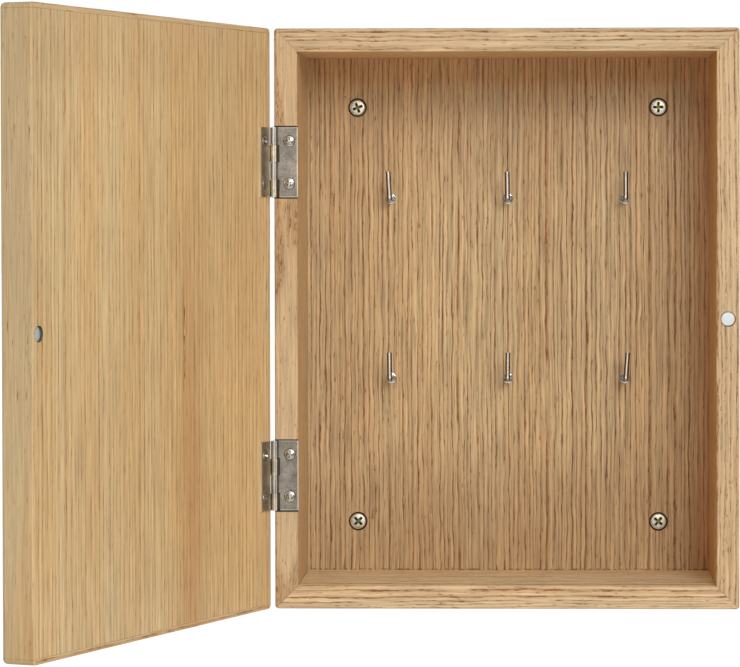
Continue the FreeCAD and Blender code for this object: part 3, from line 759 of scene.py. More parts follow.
    def magnetic(self) -> Marks:
        """Paints shade in the gap round the frame's magnet, most at its lower right.

        Returns:
            Its mask with its colour layer.
        """
        graph, markings = self.graph, FrameLinesAndShade()
        x, _, z = graph.split(self.own)
        away = graph.away(x, FRAME_MAGNET, z, 0.0)
        ring = graph.smooth(graph.gap(away, markings.magnet_gap), *markings.magnet_line)
        slant = graph.math("SUBTRACT", graph.math("SUBTRACT", x, FRAME_MAGNET), z)
        lower = graph.math("MULTIPLY_ADD", graph.smooth(slant, *markings.magnet_lower),
                           markings.magnet_more, markings.magnet_least)
        return [(graph.all_of(ring, lower), ColourLayer(markings.gap_strength, self.speck_and_gap_shade))]


@dataclass(frozen=True)
class OakFinish(Finish):
    """Oak under a thin matt lacquer."""

    early: Colour
    late: Colour
    pore: Colour
    ring_spacing: float
    ring_strength: float
    pore_strength: float
    pore_width: float
    pore_length: float
    tone: float
    wander: float
    ring_hold: float
    wobble: float
    ring_width: float
    fibre: float
    warmth: float = 0.06
    roughness: float = 0.48
    pore_roughness: float = 0.14
    shine: float = 0.25
    depth: float = 0.03 * MM
    wall: Fade = (0.3 * MM, 0.1 * MM)

    def material(self, label: str, place: PiecePlace, seams: SeamKind) -> bpy.types.Material:
        """Makes the material for one piece.

        Args:
            label: What the piece is.
            place: The piece's frame and log.
            seams: The joint lines that show on it.

        Returns:
            The material.
        """
        graph, position, shader, material = self.start(label)
        own, log_place = place.coordinates(graph, position)
        grain = self.shared(
            graph, "grain", Vector=log_place, Early=self.early, Late=self.late, Pore=self.pore,
            Ring_Spacing=self.ring_spacing, Ring_Strength=self.ring_strength,
            Ring_Hold=self.ring_hold, Ring_Width=self.ring_width, Pore_Strength=self.pore_strength,
            Pore_Width=self.pore_width, Pore_Length=self.pore_length, Tone_Strength=self.tone,
            Wander=self.wander, Wobble=self.wobble, Fibre_Strength=self.fibre, Warmth=self.warmth)
        colour, height = grain["Colour"], grain["Height"]
        if place.shade != 1.0:
            colour = graph.mix(1.0, colour, (place.shade,) * 3, "MULTIPLY")
        # Painted light and shade on the walls that face into the box.
        if place.inner != PLAIN:
            toned = graph.mix(1.0, colour, place.inner, "MULTIPLY")
            colour = graph.mix(self.inner_wall(graph, own), colour, toned)
        # Lays the marks, and the light and shade painted on the wood, one over the other.
        for mask, colour_layer in WoodMarks(graph, own).of(seams):
            colour = graph.mix(graph.math("MULTIPLY", mask, colour_layer.strength), colour, colour_layer.colour)
            height = graph.math("SUBTRACT", height, mask)
        graph.put(shader.inputs["Base Color"], colour)
        graph.put(shader.inputs["Roughness"], graph.math(
            "ADD", self.roughness, graph.math("MULTIPLY", grain["Pores"], self.pore_roughness)))
        shader.inputs["Specular IOR Level"].default_value = self.shine
        self.bump(graph, shader, height, self.depth)
        return material

    def inner_wall(self, graph: Graph, own: Socket) -> Socket:
        """Masks the faces of the frame that look into the box.

        Args:
            graph: The material's graph.
            own: Coordinates in the frame's own frame.

        Returns:
            The mask.
        """
        x, _, z = graph.split(own)
        outside = graph.math("MAXIMUM", graph.math("SUBTRACT", graph.math("ABSOLUTE", x), INNER_HALF_WIDTH),
                             graph.math("SUBTRACT", graph.math("ABSOLUTE", z), INNER_HALF_HEIGHT))
        return graph.smooth(outside, *self.wall)


@dataclass(frozen=True)
class PlatedFinish(Finish):
    """Plated metal, brushed or bright."""

    bright: Colour
    dull: Colour
    roughness: float
    grain: float = 2500.0
    variation: float = 0.2
    depth: float = 0.012 * MM
    recess: Optional[Colour] = None
    recess_from: float = 0.0

    def material(self, label: str) -> bpy.types.Material:
        """Makes the material.

        Args:
            label: What the piece is.

        Returns:
            The material.
        """
        graph, position, shader, material = self.start(label)
        markings = self.shared(graph, "markings", Vector=position, Bright=self.bright, Dull=self.dull,
                           Grain=self.grain, Roughness=self.roughness, Variation=self.variation)
        colour = markings["Colour"]
        # The recess colour covers what lies deeper than recess_from: the plating's yellow, darkened as
        # painted shade.
        if self.recess is not None:
            _, depth, _ = graph.split(position)
            deep = graph.smooth(depth, self.recess_from, self.recess_from + 0.2 * MM)
            colour = graph.mix(deep, colour, self.recess)
        graph.put(shader.inputs["Base Color"], colour)
        graph.put(shader.inputs["Roughness"], markings["Roughness"])
        shader.inputs["Metallic"].default_value = 1.0
        self.bump(graph, shader, markings["Height"], self.depth)
        return material

    @staticmethod
    def reopen(material: bpy.types.Material) -> tuple[Graph, bpy.types.Node, Socket]:
        """Opens a material again, to lay more on it.

        Args:
            material: The material.

        Returns:
            Its graph, its shader and what feeds the shader's colour.
        """
        shader = material.node_tree.nodes["Principled BSDF"]
        return Graph(material.node_tree), shader, shader.inputs["Base Color"].links[0].from_socket

    @staticmethod
    def leaf_place(graph: Graph, place: PiecePlace) -> tuple[Socket, Socket]:
        """Finds a point's place on the leaf of its hinge.

        Args:
            graph: The material's graph.
            place: The frame of the leaf's body.

        Returns:
            The reach from the pin's axis, and the height above or below the hinge's middle.
        """
        own, _ = place.coordinates(graph, graph.node("TexCoord").outputs["Object"])
        if not place.on_door:
            own = graph.vector("SUBTRACT", own, tuple(PIN_AXIS))
        x, _, z = graph.split(own)
        return x, graph.gap(graph.math("ABSOLUTE", z), HINGE_MIDDLE)


@dataclass(frozen=True)
class WireFinish(PlatedFinish):
    """Drawn wire with a painted dark reflection along both sides, where its surface faces partly sideways.
    """

    painted_dark_sides: ColourLayer = ColourLayer(0.95, srgb(40, 26, 15))
    towards_side: Fade = (0.35, 0.62)
    off_middle: Fade = (0.99, 0.93)

    def material(self, label: str) -> bpy.types.Material:
        """Makes the material.

        Args:
            label: What the piece is.

        Returns:
            The material.
        """
        material = super().material(label)
        graph, shader, base = self.reopen(material)
        # Painted dark reflection: darker where the surface faces partly sideways.
        sideways, _, _ = graph.split(graph.node("TexCoord").outputs["Normal"])
        sideways = graph.math("ABSOLUTE", sideways)
        side = graph.all_of(graph.smooth(sideways, *self.towards_side),
                            graph.smooth(sideways, *self.off_middle))
        colour = graph.mix(graph.all_of(side, self.painted_dark_sides.strength), base, self.painted_dark_sides.colour)
        graph.put(shader.inputs["Base Color"], colour)
        return material


@dataclass(frozen=True)
class LeafFinish(PlatedFinish):
    """Rolled sheet with painted highlights on its edges and barrel, and painted shadow lines round each
    screw and along its roll.
    """

    # Painted highlights: the leaf's edges, and more weakly its barrel, take this colour.
    edge: Colour = srgb(232, 228, 220)
    shadow: ColourLayer = ColourLayer(0.8, srgb(48, 42, 34))
    edge_highlight: float = 0.85
    side_edge: Fade = (LEAF_WIDTH - 0.35 * MM, LEAF_WIDTH - 0.1 * MM)
    end_edge: Fade = (HALF_LEAF - 0.3 * MM, HALF_LEAF - 0.05 * MM)
    barrel_highlight: float = 0.35
    barrel: Fade = (1.3 * MM, 1.0 * MM)
    sink: float = 2.35 * MM
    roll: float = 1.75 * MM
    line: Fade = (0.3 * MM, 0.1 * MM)

    def laid(self, label: str, place: PiecePlace) -> bpy.types.Material:
        """Makes the material of the leaves of one body.

        Args:
            label: What the piece is.
            place: The leaves' frame.

        Returns:
            The material.
        """
        material = self.material(label)
        graph, shader, base = self.reopen(material)
        reach, along = self.leaf_place(graph, place)
        # Painted highlights on the edges and barrel, then painted shadow lines round the screws and along
        # the roll.
        painted_highlight = graph.math("MAXIMUM", graph.smooth(reach, *self.side_edge),
                          graph.smooth(along, *self.end_edge))
        barrel = graph.all_of(graph.smooth(reach, *self.barrel), self.barrel_highlight)
        painted_highlight = graph.math("MAXIMUM", graph.all_of(painted_highlight, self.edge_highlight), barrel)
        screw = graph.away(reach, HINGE_SCREW_REACH, along, HINGE_SCREW_STEP)
        ring = graph.smooth(graph.gap(screw, self.sink), *self.line)
        roll = graph.smooth(graph.gap(reach, self.roll), *self.line)
        dark = graph.all_of(graph.math("MAXIMUM", ring, roll), self.shadow.strength)
        graph.put(shader.inputs["Base Color"], graph.mix(
            dark, graph.mix(painted_highlight, base, self.edge), self.shadow.colour))
        return material


@dataclass(frozen=True)
class ScrewFinish(PlatedFinish):
    """A turned screw head with a dark ring inside its rim."""

    dark_ring: ColourLayer = ColourLayer(0.6, srgb(66, 58, 48))
    ring: float = 1.55 * MM
    line: Fade = (0.35 * MM, 0.1 * MM)

    def laid(self, label: str, place: PiecePlace) -> bpy.types.Material:
        """Makes the material of the hinge screws of one body.

        Args:
            label: What the piece is.
            place: The screws' frame.

        Returns:
            The material.
        """
        material = self.material(label)
        graph, shader, base = self.reopen(material)
        reach, along = self.leaf_place(graph, place)
        away = graph.away(reach, HINGE_SCREW_REACH, along, HINGE_SCREW_STEP)
        ring = graph.smooth(graph.gap(away, self.ring), *self.line)
        colour = graph.mix(graph.all_of(ring, self.dark_ring.strength), base, self.dark_ring.colour)
        graph.put(shader.inputs["Base Color"], colour)
        return material


@dataclass(frozen=True)
class MagnetFinish(PlatedFinish):
    """A plated disc whose rim sits in the shade of its hole."""

    rim: Colour = srgb(158, 126, 96)
    shaded: Fade = (2.68 * MM, 2.9 * MM)

    def laid(self, label: str, place: PiecePlace, centre: float) -> bpy.types.Material:
        """Makes the material of one magnet.

        Args:
            label: What the piece is.
            place: The magnet's frame.
            centre: Where its middle is along X.

        Returns:
            The material.
        """
        material = self.material(label)
        graph, shader, base = self.reopen(material)
        own, _ = place.coordinates(graph, graph.node("TexCoord").outputs["Object"])
        x, _, z = graph.split(own)
        rim = graph.smooth(graph.away(x, centre, z, 0.0), *self.shaded)
        graph.put(shader.inputs["Base Color"], graph.mix(rim, base, self.rim))
        graph.put(shader.inputs["Metallic"], graph.math("SUBTRACT", 1.0, rim))
        return material


@dataclass(frozen=True)
class ClearFinish(Finish):
    """Clear moulded plastic, a little milky."""

    tint: Colour = srgb(244, 244, 241)
    milky: Colour = srgb(190, 188, 182)
    grain: float = 900.0
    roughness: float = 0.06
    variation: float = 0.1
    shine: float = 0.5
    clearness: float = 0.3
    bend_of_light: float = 1.49
    depth: float = 0.03 * MM

    def material(self, label: str) -> bpy.types.Material:
        """Makes the material.

        Args:
            label: What the piece is.

        Returns:
            The material.
        """
        graph, position, shader, material = self.start(label)
        markings = self.shared(graph, "markings", Vector=position, Bright=self.tint, Dull=self.milky,
                           Grain=self.grain, Roughness=self.roughness, Variation=self.variation)
        graph.put(shader.inputs["Base Color"], markings["Colour"])
        graph.put(shader.inputs["Roughness"], markings["Roughness"])
        shader.inputs["Metallic"].default_value = self.shine
        shader.inputs["Transmission Weight"].default_value = self.clearness
        shader.inputs["IOR"].default_value = self.bend_of_light
        self.bump(graph, shader, markings["Height"], self.depth)
        return material


@dataclass(frozen=True)
class PlywoodFinish(Finish):
    """Thin-ply core stock, whose plies show on its edges."""

    pale: Colour = srgb(214, 190, 152)
    late: Colour = srgb(200, 172, 132)
    dark: Colour = srgb(176, 142, 102)
    ply: float = 1.3 * MM
    layer_strength: float = 0.3
    ring_spacing: float = 20 * MM
    ring_strength: float = 0.6
    pore_strength: float = 0.35
    pore_width: float = 0.9 * MM
    pore_length: float = 12 * MM
    tone: float = 0.25
    wander: float = 8 * MM
    roughness: float = 0.66
    pore_roughness: float = 0.1
    depth: float = 0.08 * MM

    def material(self, label: str, place: PiecePlace) -> bpy.types.Material:
        """Makes the material for one panel.

        Args:
            label: What the panel is.
            place: The panel's frame and log.

        Returns:
            The material.
        """
        graph, position, shader, material = self.start(label)
        own, log_place = place.coordinates(graph, position)
        grain = self.shared(
            graph, "grain", Vector=log_place, Early=self.pale, Late=self.late, Pore=self.dark,
            Ring_Spacing=self.ring_spacing, Ring_Strength=self.ring_strength,
            Pore_Strength=self.pore_strength, Pore_Width=self.pore_width, Pore_Length=self.pore_length,
            Tone_Strength=self.tone, Wander=self.wander)
        across, depth, up = graph.split(own)
        plies = graph.math("PINGPONG", depth, self.ply)
        layer = graph.smooth(plies, self.ply * 0.45, self.ply * 0.55)
        colour = graph.mix(graph.all_of(layer, self.layer_strength), grain["Colour"], self.dark)
        if place.on_door:
            hole = graph.smooth(graph.away(across, DOOR_MAGNET, up, 0.0), *MAGNET_HOLE)
            colour = graph.mix(hole, colour, HOLE_SHADE)
        graph.put(shader.inputs["Base Color"], colour)
        graph.put(shader.inputs["Roughness"], graph.math(
            "ADD", self.roughness, graph.math("MULTIPLY", grain["Pores"], self.pore_roughness)))
        self.bump(graph, shader, grain["Height"], self.depth)
        return material


FRAME_OAK = OakFinish(
    "frame_oak", early=srgb(222, 194, 154), late=srgb(164, 112, 60), pore=srgb(138, 82, 38),
    ring_spacing=1.9 * MM, ring_strength=0.68, ring_width=0.7, ring_hold=0.14,
    pore_strength=0.8, pore_width=0.8 * MM, pore_length=6 * MM,
    tone=0.35, wander=8 * MM, wobble=1.7 * MM, fibre=1.3)
STILE_OAK = replace(FRAME_OAK, early=srgb(218, 187, 145), pore_strength=0.7, pore_length=4 * MM)
PANEL_OAK = OakFinish(
    "panel_oak", early=srgb(224, 194, 147), late=srgb(158, 102, 46), pore=srgb(132, 70, 20),
    ring_spacing=2.2 * MM, ring_strength=0.85, ring_width=0.5, ring_hold=0.15,
    pore_strength=0.75, pore_width=0.7 * MM, pore_length=7 * MM,
    tone=0.2, wander=3.2 * MM, wobble=1.8 * MM, fibre=1.8)
DOOR_OAK = OakFinish(
    "door_oak", early=srgb(216, 187, 139), late=srgb(170, 120, 54), pore=srgb(152, 92, 34),
    ring_spacing=3.3 * MM, ring_strength=0.5, ring_width=0.5, ring_hold=0.12,
    pore_strength=0.55, pore_width=0.8 * MM, pore_length=10 * MM,
    tone=0.3, wander=1.6 * MM, wobble=0.9 * MM, fibre=1.25, warmth=0.09)
LIPPING_OAK = replace(DOOR_OAK, early=srgb(214, 185, 139), tone=0.35, fibre=0.9, ring_strength=0.65,
                      pore_strength=0.8)
PLYWOOD = PlywoodFinish("plywood")
FRAME_LEAF = LeafFinish("nickel_sheet", bright=srgb(155, 146, 134), dull=srgb(100, 93, 82), roughness=0.36)
# The door's leaves take a paler copy of the frame's nickel: painted light.
DOOR_LEAF = replace(FRAME_LEAF, bright=srgb(214, 200, 175), dull=srgb(152, 140, 119))
PIN_METAL = PlatedFinish("nickel_wire", bright=srgb(206, 198, 188), dull=srgb(176, 167, 156),
                         roughness=0.2, variation=0.06, depth=0.003 * MM)
HOOK_WIRE = WireFinish("hook_wire", bright=srgb(232, 224, 212), dull=srgb(216, 207, 194),
                       roughness=0.24, variation=0.06, depth=0.003 * MM)
HINGE_SCREW = ScrewFinish("nickel_screw", bright=srgb(212, 205, 194), dull=srgb(150, 142, 130),
                          roughness=0.3, variation=0.12)
# Its recess colour is the plating's yellow, darkened as painted shade in the cross recess and at the sunk
# edge of the head.
WALL_SCREW = PlatedFinish("zinc_screw", bright=srgb(216, 214, 201), dull=srgb(170, 167, 149),
                          roughness=0.4, grain=1100.0, recess=srgb(112, 98, 44), recess_from=-5.3 * MM)
FRAME_MAGNET_FACE = MagnetFinish("magnet_nickel", bright=srgb(196, 199, 197), dull=srgb(172, 176, 175),
                                 roughness=0.5, variation=0.1, depth=0.006 * MM)
# The door's magnet is a paler copy of the frame magnet's nickel, painted light, and its rim is darker,
# painted shade.
DOOR_MAGNET_FACE = replace(FRAME_MAGNET_FACE, bright=srgb(206, 216, 214), dull=srgb(186, 197, 196),
                           rim=srgb(112, 104, 84))
COLLAR_CLEAR = ClearFinish("collar_clear")


def smoothing_group() -> bpy.types.NodeTree:
    """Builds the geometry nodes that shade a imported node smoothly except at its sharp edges.

    Returns:
        The node group.
    """
    tree = bpy.data.node_groups.new("SmoothRounds", "GeometryNodeTree")
    for way in ("INPUT", "OUTPUT"):
        tree.interface.new_socket("Geometry", in_out=way, socket_type="NodeSocketGeometry")
    add = tree.nodes.new
    source, weld, faces, edges = (add(kind) for kind in (
        "NodeGroupInput", "GeometryNodeMergeByDistance", "GeometryNodeSetShadeSmooth",
        "GeometryNodeSetShadeSmooth"))
    angle, sharp, result = (add(kind) for kind in (
        "GeometryNodeInputMeshEdgeAngle", "FunctionNodeCompare", "NodeGroupOutput"))
    weld.inputs["Distance"].default_value = WELD
    edges.domain = "EDGE"
    edges.inputs["Shade Smooth"].default_value = False
    sharp.inputs[1].default_value = NODE_SHARP
    for before, after in (
        (source.outputs[0], weld.inputs[0]), (weld.outputs[0], faces.inputs[0]),
        (faces.outputs[0], edges.inputs[0]), (angle.outputs[0], sharp.inputs[0]),
        (sharp.outputs[0], edges.inputs["Selection"]), (edges.outputs[0], result.inputs[0]),
    ):
        tree.links.new(before, after)
    return tree


SMOOTH_ROUNDS = smoothing_group()


def dress_node(name: str, material: bpy.types.Material) -> None:
    """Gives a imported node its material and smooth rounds.

    Args:
        name: The node.
        material: Its finish.
    """
    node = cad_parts[name]
    for slot in node.material_slots:
        slot.material = material
    if not node.material_slots:
        node.data.materials.append(material)
    node.modifiers.new("SmoothRounds", "NODES").node_group = SMOOTH_ROUNDS
    log.info("%s: %s", name, material.name)


def node_seed(name: str) -> int:
    """A small steady number from a name, so that each board is cut elsewhere in the log."""
    return sum((i + 1) * ord(letter) for i, letter in enumerate(name)) % 97


@dataclass
class NewPiece:
    """What the finer pieces share: building in a bmesh and closing it into an object."""

    body: str = "box"

    def turned(self, profile: Sequence[tuple[float, float]], steps: int) -> bmesh.types.BMesh:
        """Turns a profile about the Y axis.

        Args:
            profile: Points as radius and place along Y, in metres.
            steps: Steps in the full turn.

        Returns:
            The closed bmesh.
        """
        bm = bmesh.new()
        points = [bm.verts.new((radius, along, 0.0)) for radius, along in profile]
        edges = [bm.edges.new(pair) for pair in zip(points, points[1:])]
        bmesh.ops.spin(bm, geom=points + edges, cent=(0, 0, 0), axis=(0, 1, 0), dvec=(0, 0, 0),
                       angle=math.tau, steps=steps, use_merge=True, use_duplicate=False)
        self.close(bm)
        return bm

    @staticmethod
    def close(bm: bmesh.types.BMesh) -> None:
        """Merges doubles, closes poles and turns the faces outwards.

        Args:
            bm: The bmesh.
        """
        bmesh.ops.remove_doubles(bm, verts=bm.verts, dist=WELD)
        bmesh.ops.dissolve_degenerate(bm, dist=WELD / 10, edges=bm.edges)
        bmesh.ops.recalc_face_normals(bm, faces=bm.faces)

    def cut(self, mesh: bpy.types.Mesh, cutters: Sequence[bmesh.types.BMesh]) -> bpy.types.Mesh:
        """Cuts shapes out of a mesh.

        Args:
            mesh: The mesh.
            cutters: The shapes to take away.

        Returns:
            The cut mesh.
        """
        work = bpy.data.objects.new("work", mesh)
        bpy.context.scene.collection.objects.link(work)
        tools = []
        for cutter in cutters:
            tool_mesh = bpy.data.meshes.new("tool")
            cutter.to_mesh(tool_mesh)
            tool = bpy.data.objects.new("tool", tool_mesh)
            bpy.context.scene.collection.objects.link(tool)
            step = work.modifiers.new("cut", "BOOLEAN")
            step.object, step.solver, step.operation = tool, "EXACT", "DIFFERENCE"
            tools.append(tool)
        bpy.context.view_layer.update()
        graph = bpy.context.evaluated_depsgraph_get()
        done = bpy.data.meshes.new_from_object(work.evaluated_get(graph))
        for item in (work, *tools):
            bpy.data.objects.remove(item)
        return done

    def finished(self, name: str, parts: Sequence[tuple[bpy.types.Mesh, Matrix]],
                 material: bpy.types.Material, slot: str, *replaced: str) -> None:
        """Joins copies of meshes in one object at the origin.

        Args:
            name: The piece's name.
            parts: Meshes with the place of each.
            material: The finish.
            slot: The record's slot, not used.
            *replaced: The nodes that it stands for.
        """
        bm = bmesh.new()
        for mesh, place in parts:
            first = len(bm.verts)
            bm.from_mesh(mesh)
            bm.verts.ensure_lookup_table()
            bmesh.ops.transform(bm, matrix=place, verts=bm.verts[first:])
        bmesh.ops.recalc_face_normals(bm, faces=bm.faces)
        for face in bm.faces:
            face.smooth = True
        for edge in bm.edges:
            edge.smooth = not edge.is_manifold or edge.calc_face_angle() < PIECE_SHARP
        mesh = bpy.data.meshes.new(name)
        bm.to_mesh(mesh)
        bm.free()
        piece = bpy.data.objects.new(name, mesh)
        bpy.context.scene.collection.objects.link(piece)
        mesh.materials.append(material)
        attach(piece, self.body)
        if replaced:
            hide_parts(*replaced)
        log.info("%s: %d faces on %s", name, len(mesh.polygons), self.body)

    @staticmethod
    def cross(width: float, length: float, depth: float, taper: float,
              rise: float = 0.0) -> list[bmesh.types.BMesh]:
        """The two tapered wings of a cross recess, open towards -Y.

        Args:
            width: Across a wing.
            length: Tip to tip.
            depth: How deep it goes.
            taper: How much shorter a wing is at the bottom.
            rise: How far the head stands above the rim.

        Returns:
            The cutters.
        """
        above = 0.2 * MM + rise
        wings = []
        for across, up, narrowing in ((width, length, (0.8, 1, taper)), (length, width, (taper, 1, 0.8))):
            bm = bmesh.new()
            bmesh.ops.create_cube(bm, size=1.0)
            bmesh.ops.scale(bm, vec=(across, depth + above, up), verts=bm.verts)
            deep = [v for v in bm.verts if v.co.y > 0]
            bmesh.ops.scale(bm, vec=narrowing, verts=deep)
            bmesh.ops.translate(bm, vec=(0, (depth - above) / 2, 0), verts=bm.verts)
            wings.append(bm)
        return wings


@dataclass(frozen=True)
class Board:
    """A board of the frame: its grain, its joints, its shade, and the tint of its wall inside the box, which
    paints light and shade there.
    """

    grain: Grain
    seams: SeamKind
    shade: float
    inner: Colour


@dataclass
class Box:
    """The mitred frame with its back panel."""

    boards: dict[str, Board] = field(default_factory=lambda: {
        # The top rail's low shade is painted shade and the bottom rail's high one painted light. The tints
        # paint light and shade on the walls that face into the box: darker and warmer at the sides, lighter
        # at the top, lighter and paler at the bottom.
        "frame_top_rail": Board(Grain.ACROSS, SeamKind.MITRE, 0.88, (1.22, 1.17, 1.02)),
        "frame_bottom_rail": Board(Grain.ACROSS, SeamKind.MITRE, 1.04, (1.21, 1.38, 1.52)),
        "frame_left_stile": Board(Grain.UPRIGHT, SeamKind.HINGED, 0.91, (0.95, 0.92, 0.82)),
        "frame_right_stile": Board(Grain.UPRIGHT, SeamKind.MAGNETIC, 0.97, (1.01, 0.87, 0.67))})
    panel_shade: float = 0.87

    def build(self) -> None:
        """Dresses the boards and the panel's two layers."""
        for name, board in self.boards.items():
            seed = node_seed(name)
            cut_at = (0.03 + seed * 0.0011, 0.1 + seed * 0.0007, seed * 0.37)
            place = PiecePlace(board.grain, log_offset=cut_at, shade=board.shade, inner=board.inner)
            oak = STILE_OAK if board.grain is Grain.UPRIGHT else FRAME_OAK
            dress_node(name, oak.material(name, place, board.seams))
        place = PiecePlace(log_offset=(0.5, 0.03, 1.7), shade=self.panel_shade)
        dress_node("back_panel_veneer", PANEL_OAK.material("veneer", place, SeamKind.PANEL))
        dress_node("back_panel_core", PLYWOOD.material("back_panel", PiecePlace(log_offset=(0.4, 0.2, 3.1))))


@dataclass
class Door:
    """The lipped and veneered door."""

    lippings: dict[str, Grain] = field(default_factory=lambda: {
        "door_top_lipping": Grain.ACROSS, "door_bottom_lipping": Grain.ACROSS,
        "door_hinge_lipping": Grain.UPRIGHT, "door_free_lipping": Grain.UPRIGHT})
    veneers: tuple[str, ...] = ("door_inner_veneer", "door_outer_veneer")

    def build(self) -> None:
        """Dresses the lippings, the veneers and the core."""
        for name, grain in self.lippings.items():
            seed = node_seed(name)
            place = PiecePlace(grain, True, (0.3 + seed * 0.001, 0.05, seed * 0.21))
            dress_node(name, LIPPING_OAK.material(name, place, SeamKind.LIPPING))
        for i, name in enumerate(self.veneers):
            place = PiecePlace(on_door=True, log_offset=(0.6 + 0.2 * i, 0.04, 2.3 + i))
            dress_node(name, DOOR_OAK.material(name, place, SeamKind.LIPPING))
        dress_node("door_core", PLYWOOD.material("door_core", PiecePlace(on_door=True)))


@dataclass
class WallScrews(NewPiece):
    """The four wood screws that hold the box to a wall, threaded behind the back."""

    head: float = 3.12 * MM
    neck: float = 1.45 * MM
    core: float = 1.25 * MM
    crest: float = 1.75 * MM
    face: float = -5.4 * MM
    tip: float = 24.0 * MM
    point: float = 4.0 * MM
    pitch: float = 1.6 * MM
    thread_from: float = 6.0 * MM
    thread_foot: float = 0.32 * MM
    plain_tip: float = 1.2 * MM
    narrowing: float = 0.72
    cross_width: float = 1.2 * MM
    cross_length: float = 5.1 * MM
    cross_depth: float = 1.7 * MM
    round_steps: int = 48
    thread_steps: int = 24
    turns: dict[tuple[int, int], float] = field(default_factory=lambda: {
        (-1, 1): -20.0, (1, 1): 0.0, (-1, -1): 45.0, (1, -1): 40.0})

    def shaft(self) -> bmesh.types.BMesh:
        """Turns the head, neck and core of one screw, with its face at Y = 0.

        Returns:
            The closed bmesh.
        """
        end = self.tip - self.face
        return self.turned([
            (0.0, 0.0), (2.85 * MM, 0.02 * MM), (3.04 * MM, 0.08 * MM), (self.head, 0.2 * MM),
            (3.04 * MM, 0.36 * MM), (1.6 * MM, 1.95 * MM), (self.neck, 2.6 * MM), (self.neck, 5.2 * MM),
            (self.core, 5.5 * MM), (self.core, end - self.point), (0.5 * MM, end - 0.9 * MM), (0.0, end),
        ], self.round_steps)

    def thread(self) -> bmesh.types.BMesh:
        """Sweeps the thread's section in a helix round the core, thinner towards the point.

        Returns:
            The closed bmesh.
        """
        bm = bmesh.new()
        start, end = self.thread_from, self.tip - self.face - self.plain_tip
        root = self.core - 0.1 * MM
        foot = self.thread_foot
        section = [bm.verts.new(corner) for corner in (
            (root, start - foot, 0), (self.crest, start, 0), (root, start + foot, 0))]
        edges = [bm.edges.new((section[i], section[(i + 1) % 3])) for i in range(3)]
        bm.faces.new(section)
        turns = (end - start) / self.pitch
        steps = round(turns * self.thread_steps)
        swept = bmesh.ops.spin(bm, geom=section + edges, cent=(0, 0, 0), axis=(0, 1, 0),
                               dvec=(0, (end - start) / steps, 0), angle=math.tau * turns, steps=steps)
        last = [item for item in swept["geom_last"] if isinstance(item, bmesh.types.BMVert)]
        bm.faces.new(last)
        shoulder = end - self.point + self.plain_tip
        for vert in bm.verts:
            share = max(0.0, (vert.co.y - shoulder) / self.point)
            scale = 1.0 - self.narrowing * min(1.0, share)
            vert.co.x *= scale
            vert.co.z *= scale
        bmesh.ops.recalc_face_normals(bm, faces=bm.faces)
        return bm

    def build(self) -> None:
        """Cuts the cross recess and sets the four screws in their holes."""
        shaft, helix = bpy.data.meshes.new("shaft"), bpy.data.meshes.new("helix")
        self.shaft().to_mesh(shaft)
        self.thread().to_mesh(helix)
        cross = self.cross(self.cross_width, self.cross_length, self.cross_depth, 0.35)
        done = self.cut(shaft, cross)
        parts = []
        for (side, up), turn in self.turns.items():
            spot = Matrix.Translation((side * WALL_SCREW_X, self.face, up * WALL_SCREW_Z))
            spot = spot @ Matrix.Rotation(math.radians(turn), 4, "Y")
            parts += [(done, spot), (helix, spot)]
        finish = WALL_SCREW.material("wall")
        self.finished("wall_screws_threaded", parts, finish, "zinc_screw", "wall_screws")


@dataclass
class HingeScrews(NewPiece):
    """The raised countersunk screws of the hinges, four in the frame and four in the door."""

    leaf_face: float = 0.73 * MM
    rim: float = 2.2 * MM
    rise: float = 0.45 * MM
    shank: float = 1.1 * MM
    length: float = 10.0 * MM
    cross_width: float = 0.7 * MM
    cross_length: float = 3.0 * MM
    cross_depth: float = 1.0 * MM
    round_steps: int = 40
    turns: tuple[float, ...] = (20.0, 55.0, 10.0, 38.0)

    def screw(self) -> bpy.types.Mesh:
        """Turns one screw with its domed head and cuts its cross, its rim at Y = 0.

        Returns:
            The screw's mesh.
        """
        mesh = bpy.data.meshes.new("hinge_screw")
        self.turned([
            (0.0, -self.rise), (0.7 * MM, -0.41 * MM), (1.4 * MM, -0.28 * MM), (1.95 * MM, -0.1 * MM),
            (self.rim, 0.0), (2.24 * MM, 0.08 * MM), (self.shank, 0.7 * MM),
            (self.shank, self.length - 1.1 * MM), (0.0, self.length),
        ], self.round_steps).to_mesh(mesh)
        cross = self.cross(self.cross_width, self.cross_length, self.cross_depth, 0.4, self.rise)
        return self.cut(mesh, cross)

    def build(self) -> None:
        """Sets four screws in the frame's leaves and four in the door's."""
        screw = self.screw()
        axis = Matrix.Translation(PIN_AXIS)
        heights = [middle + step for middle in (HINGE_MIDDLE, -HINGE_MIDDLE)
                   for step in (HINGE_SCREW_STEP, -HINGE_SCREW_STEP)]
        for body, node, swing, lie, face in (
                ("box", "hinge_frame_screws", 0.0, 0.0, self.leaf_face),
                ("door", "hinge_door_screws", -REST_ANGLE, math.pi, -self.leaf_face)):
            parts = []
            for up, turn in zip(heights, self.turns):
                spot = Matrix.Translation((HINGE_SCREW_REACH, face, up)) @ Matrix.Rotation(lie, 4, "Z")
                spot = axis @ Matrix.Rotation(swing, 4, "Z") @ spot
                parts.append((screw, spot @ Matrix.Rotation(math.radians(turn), 4, "Y")))
            self.body = body
            finish = HINGE_SCREW.laid(body, PiecePlace(on_door=body == "door"))
            self.finished(f"{node}_domed", parts, finish, "nickel_screw", node)


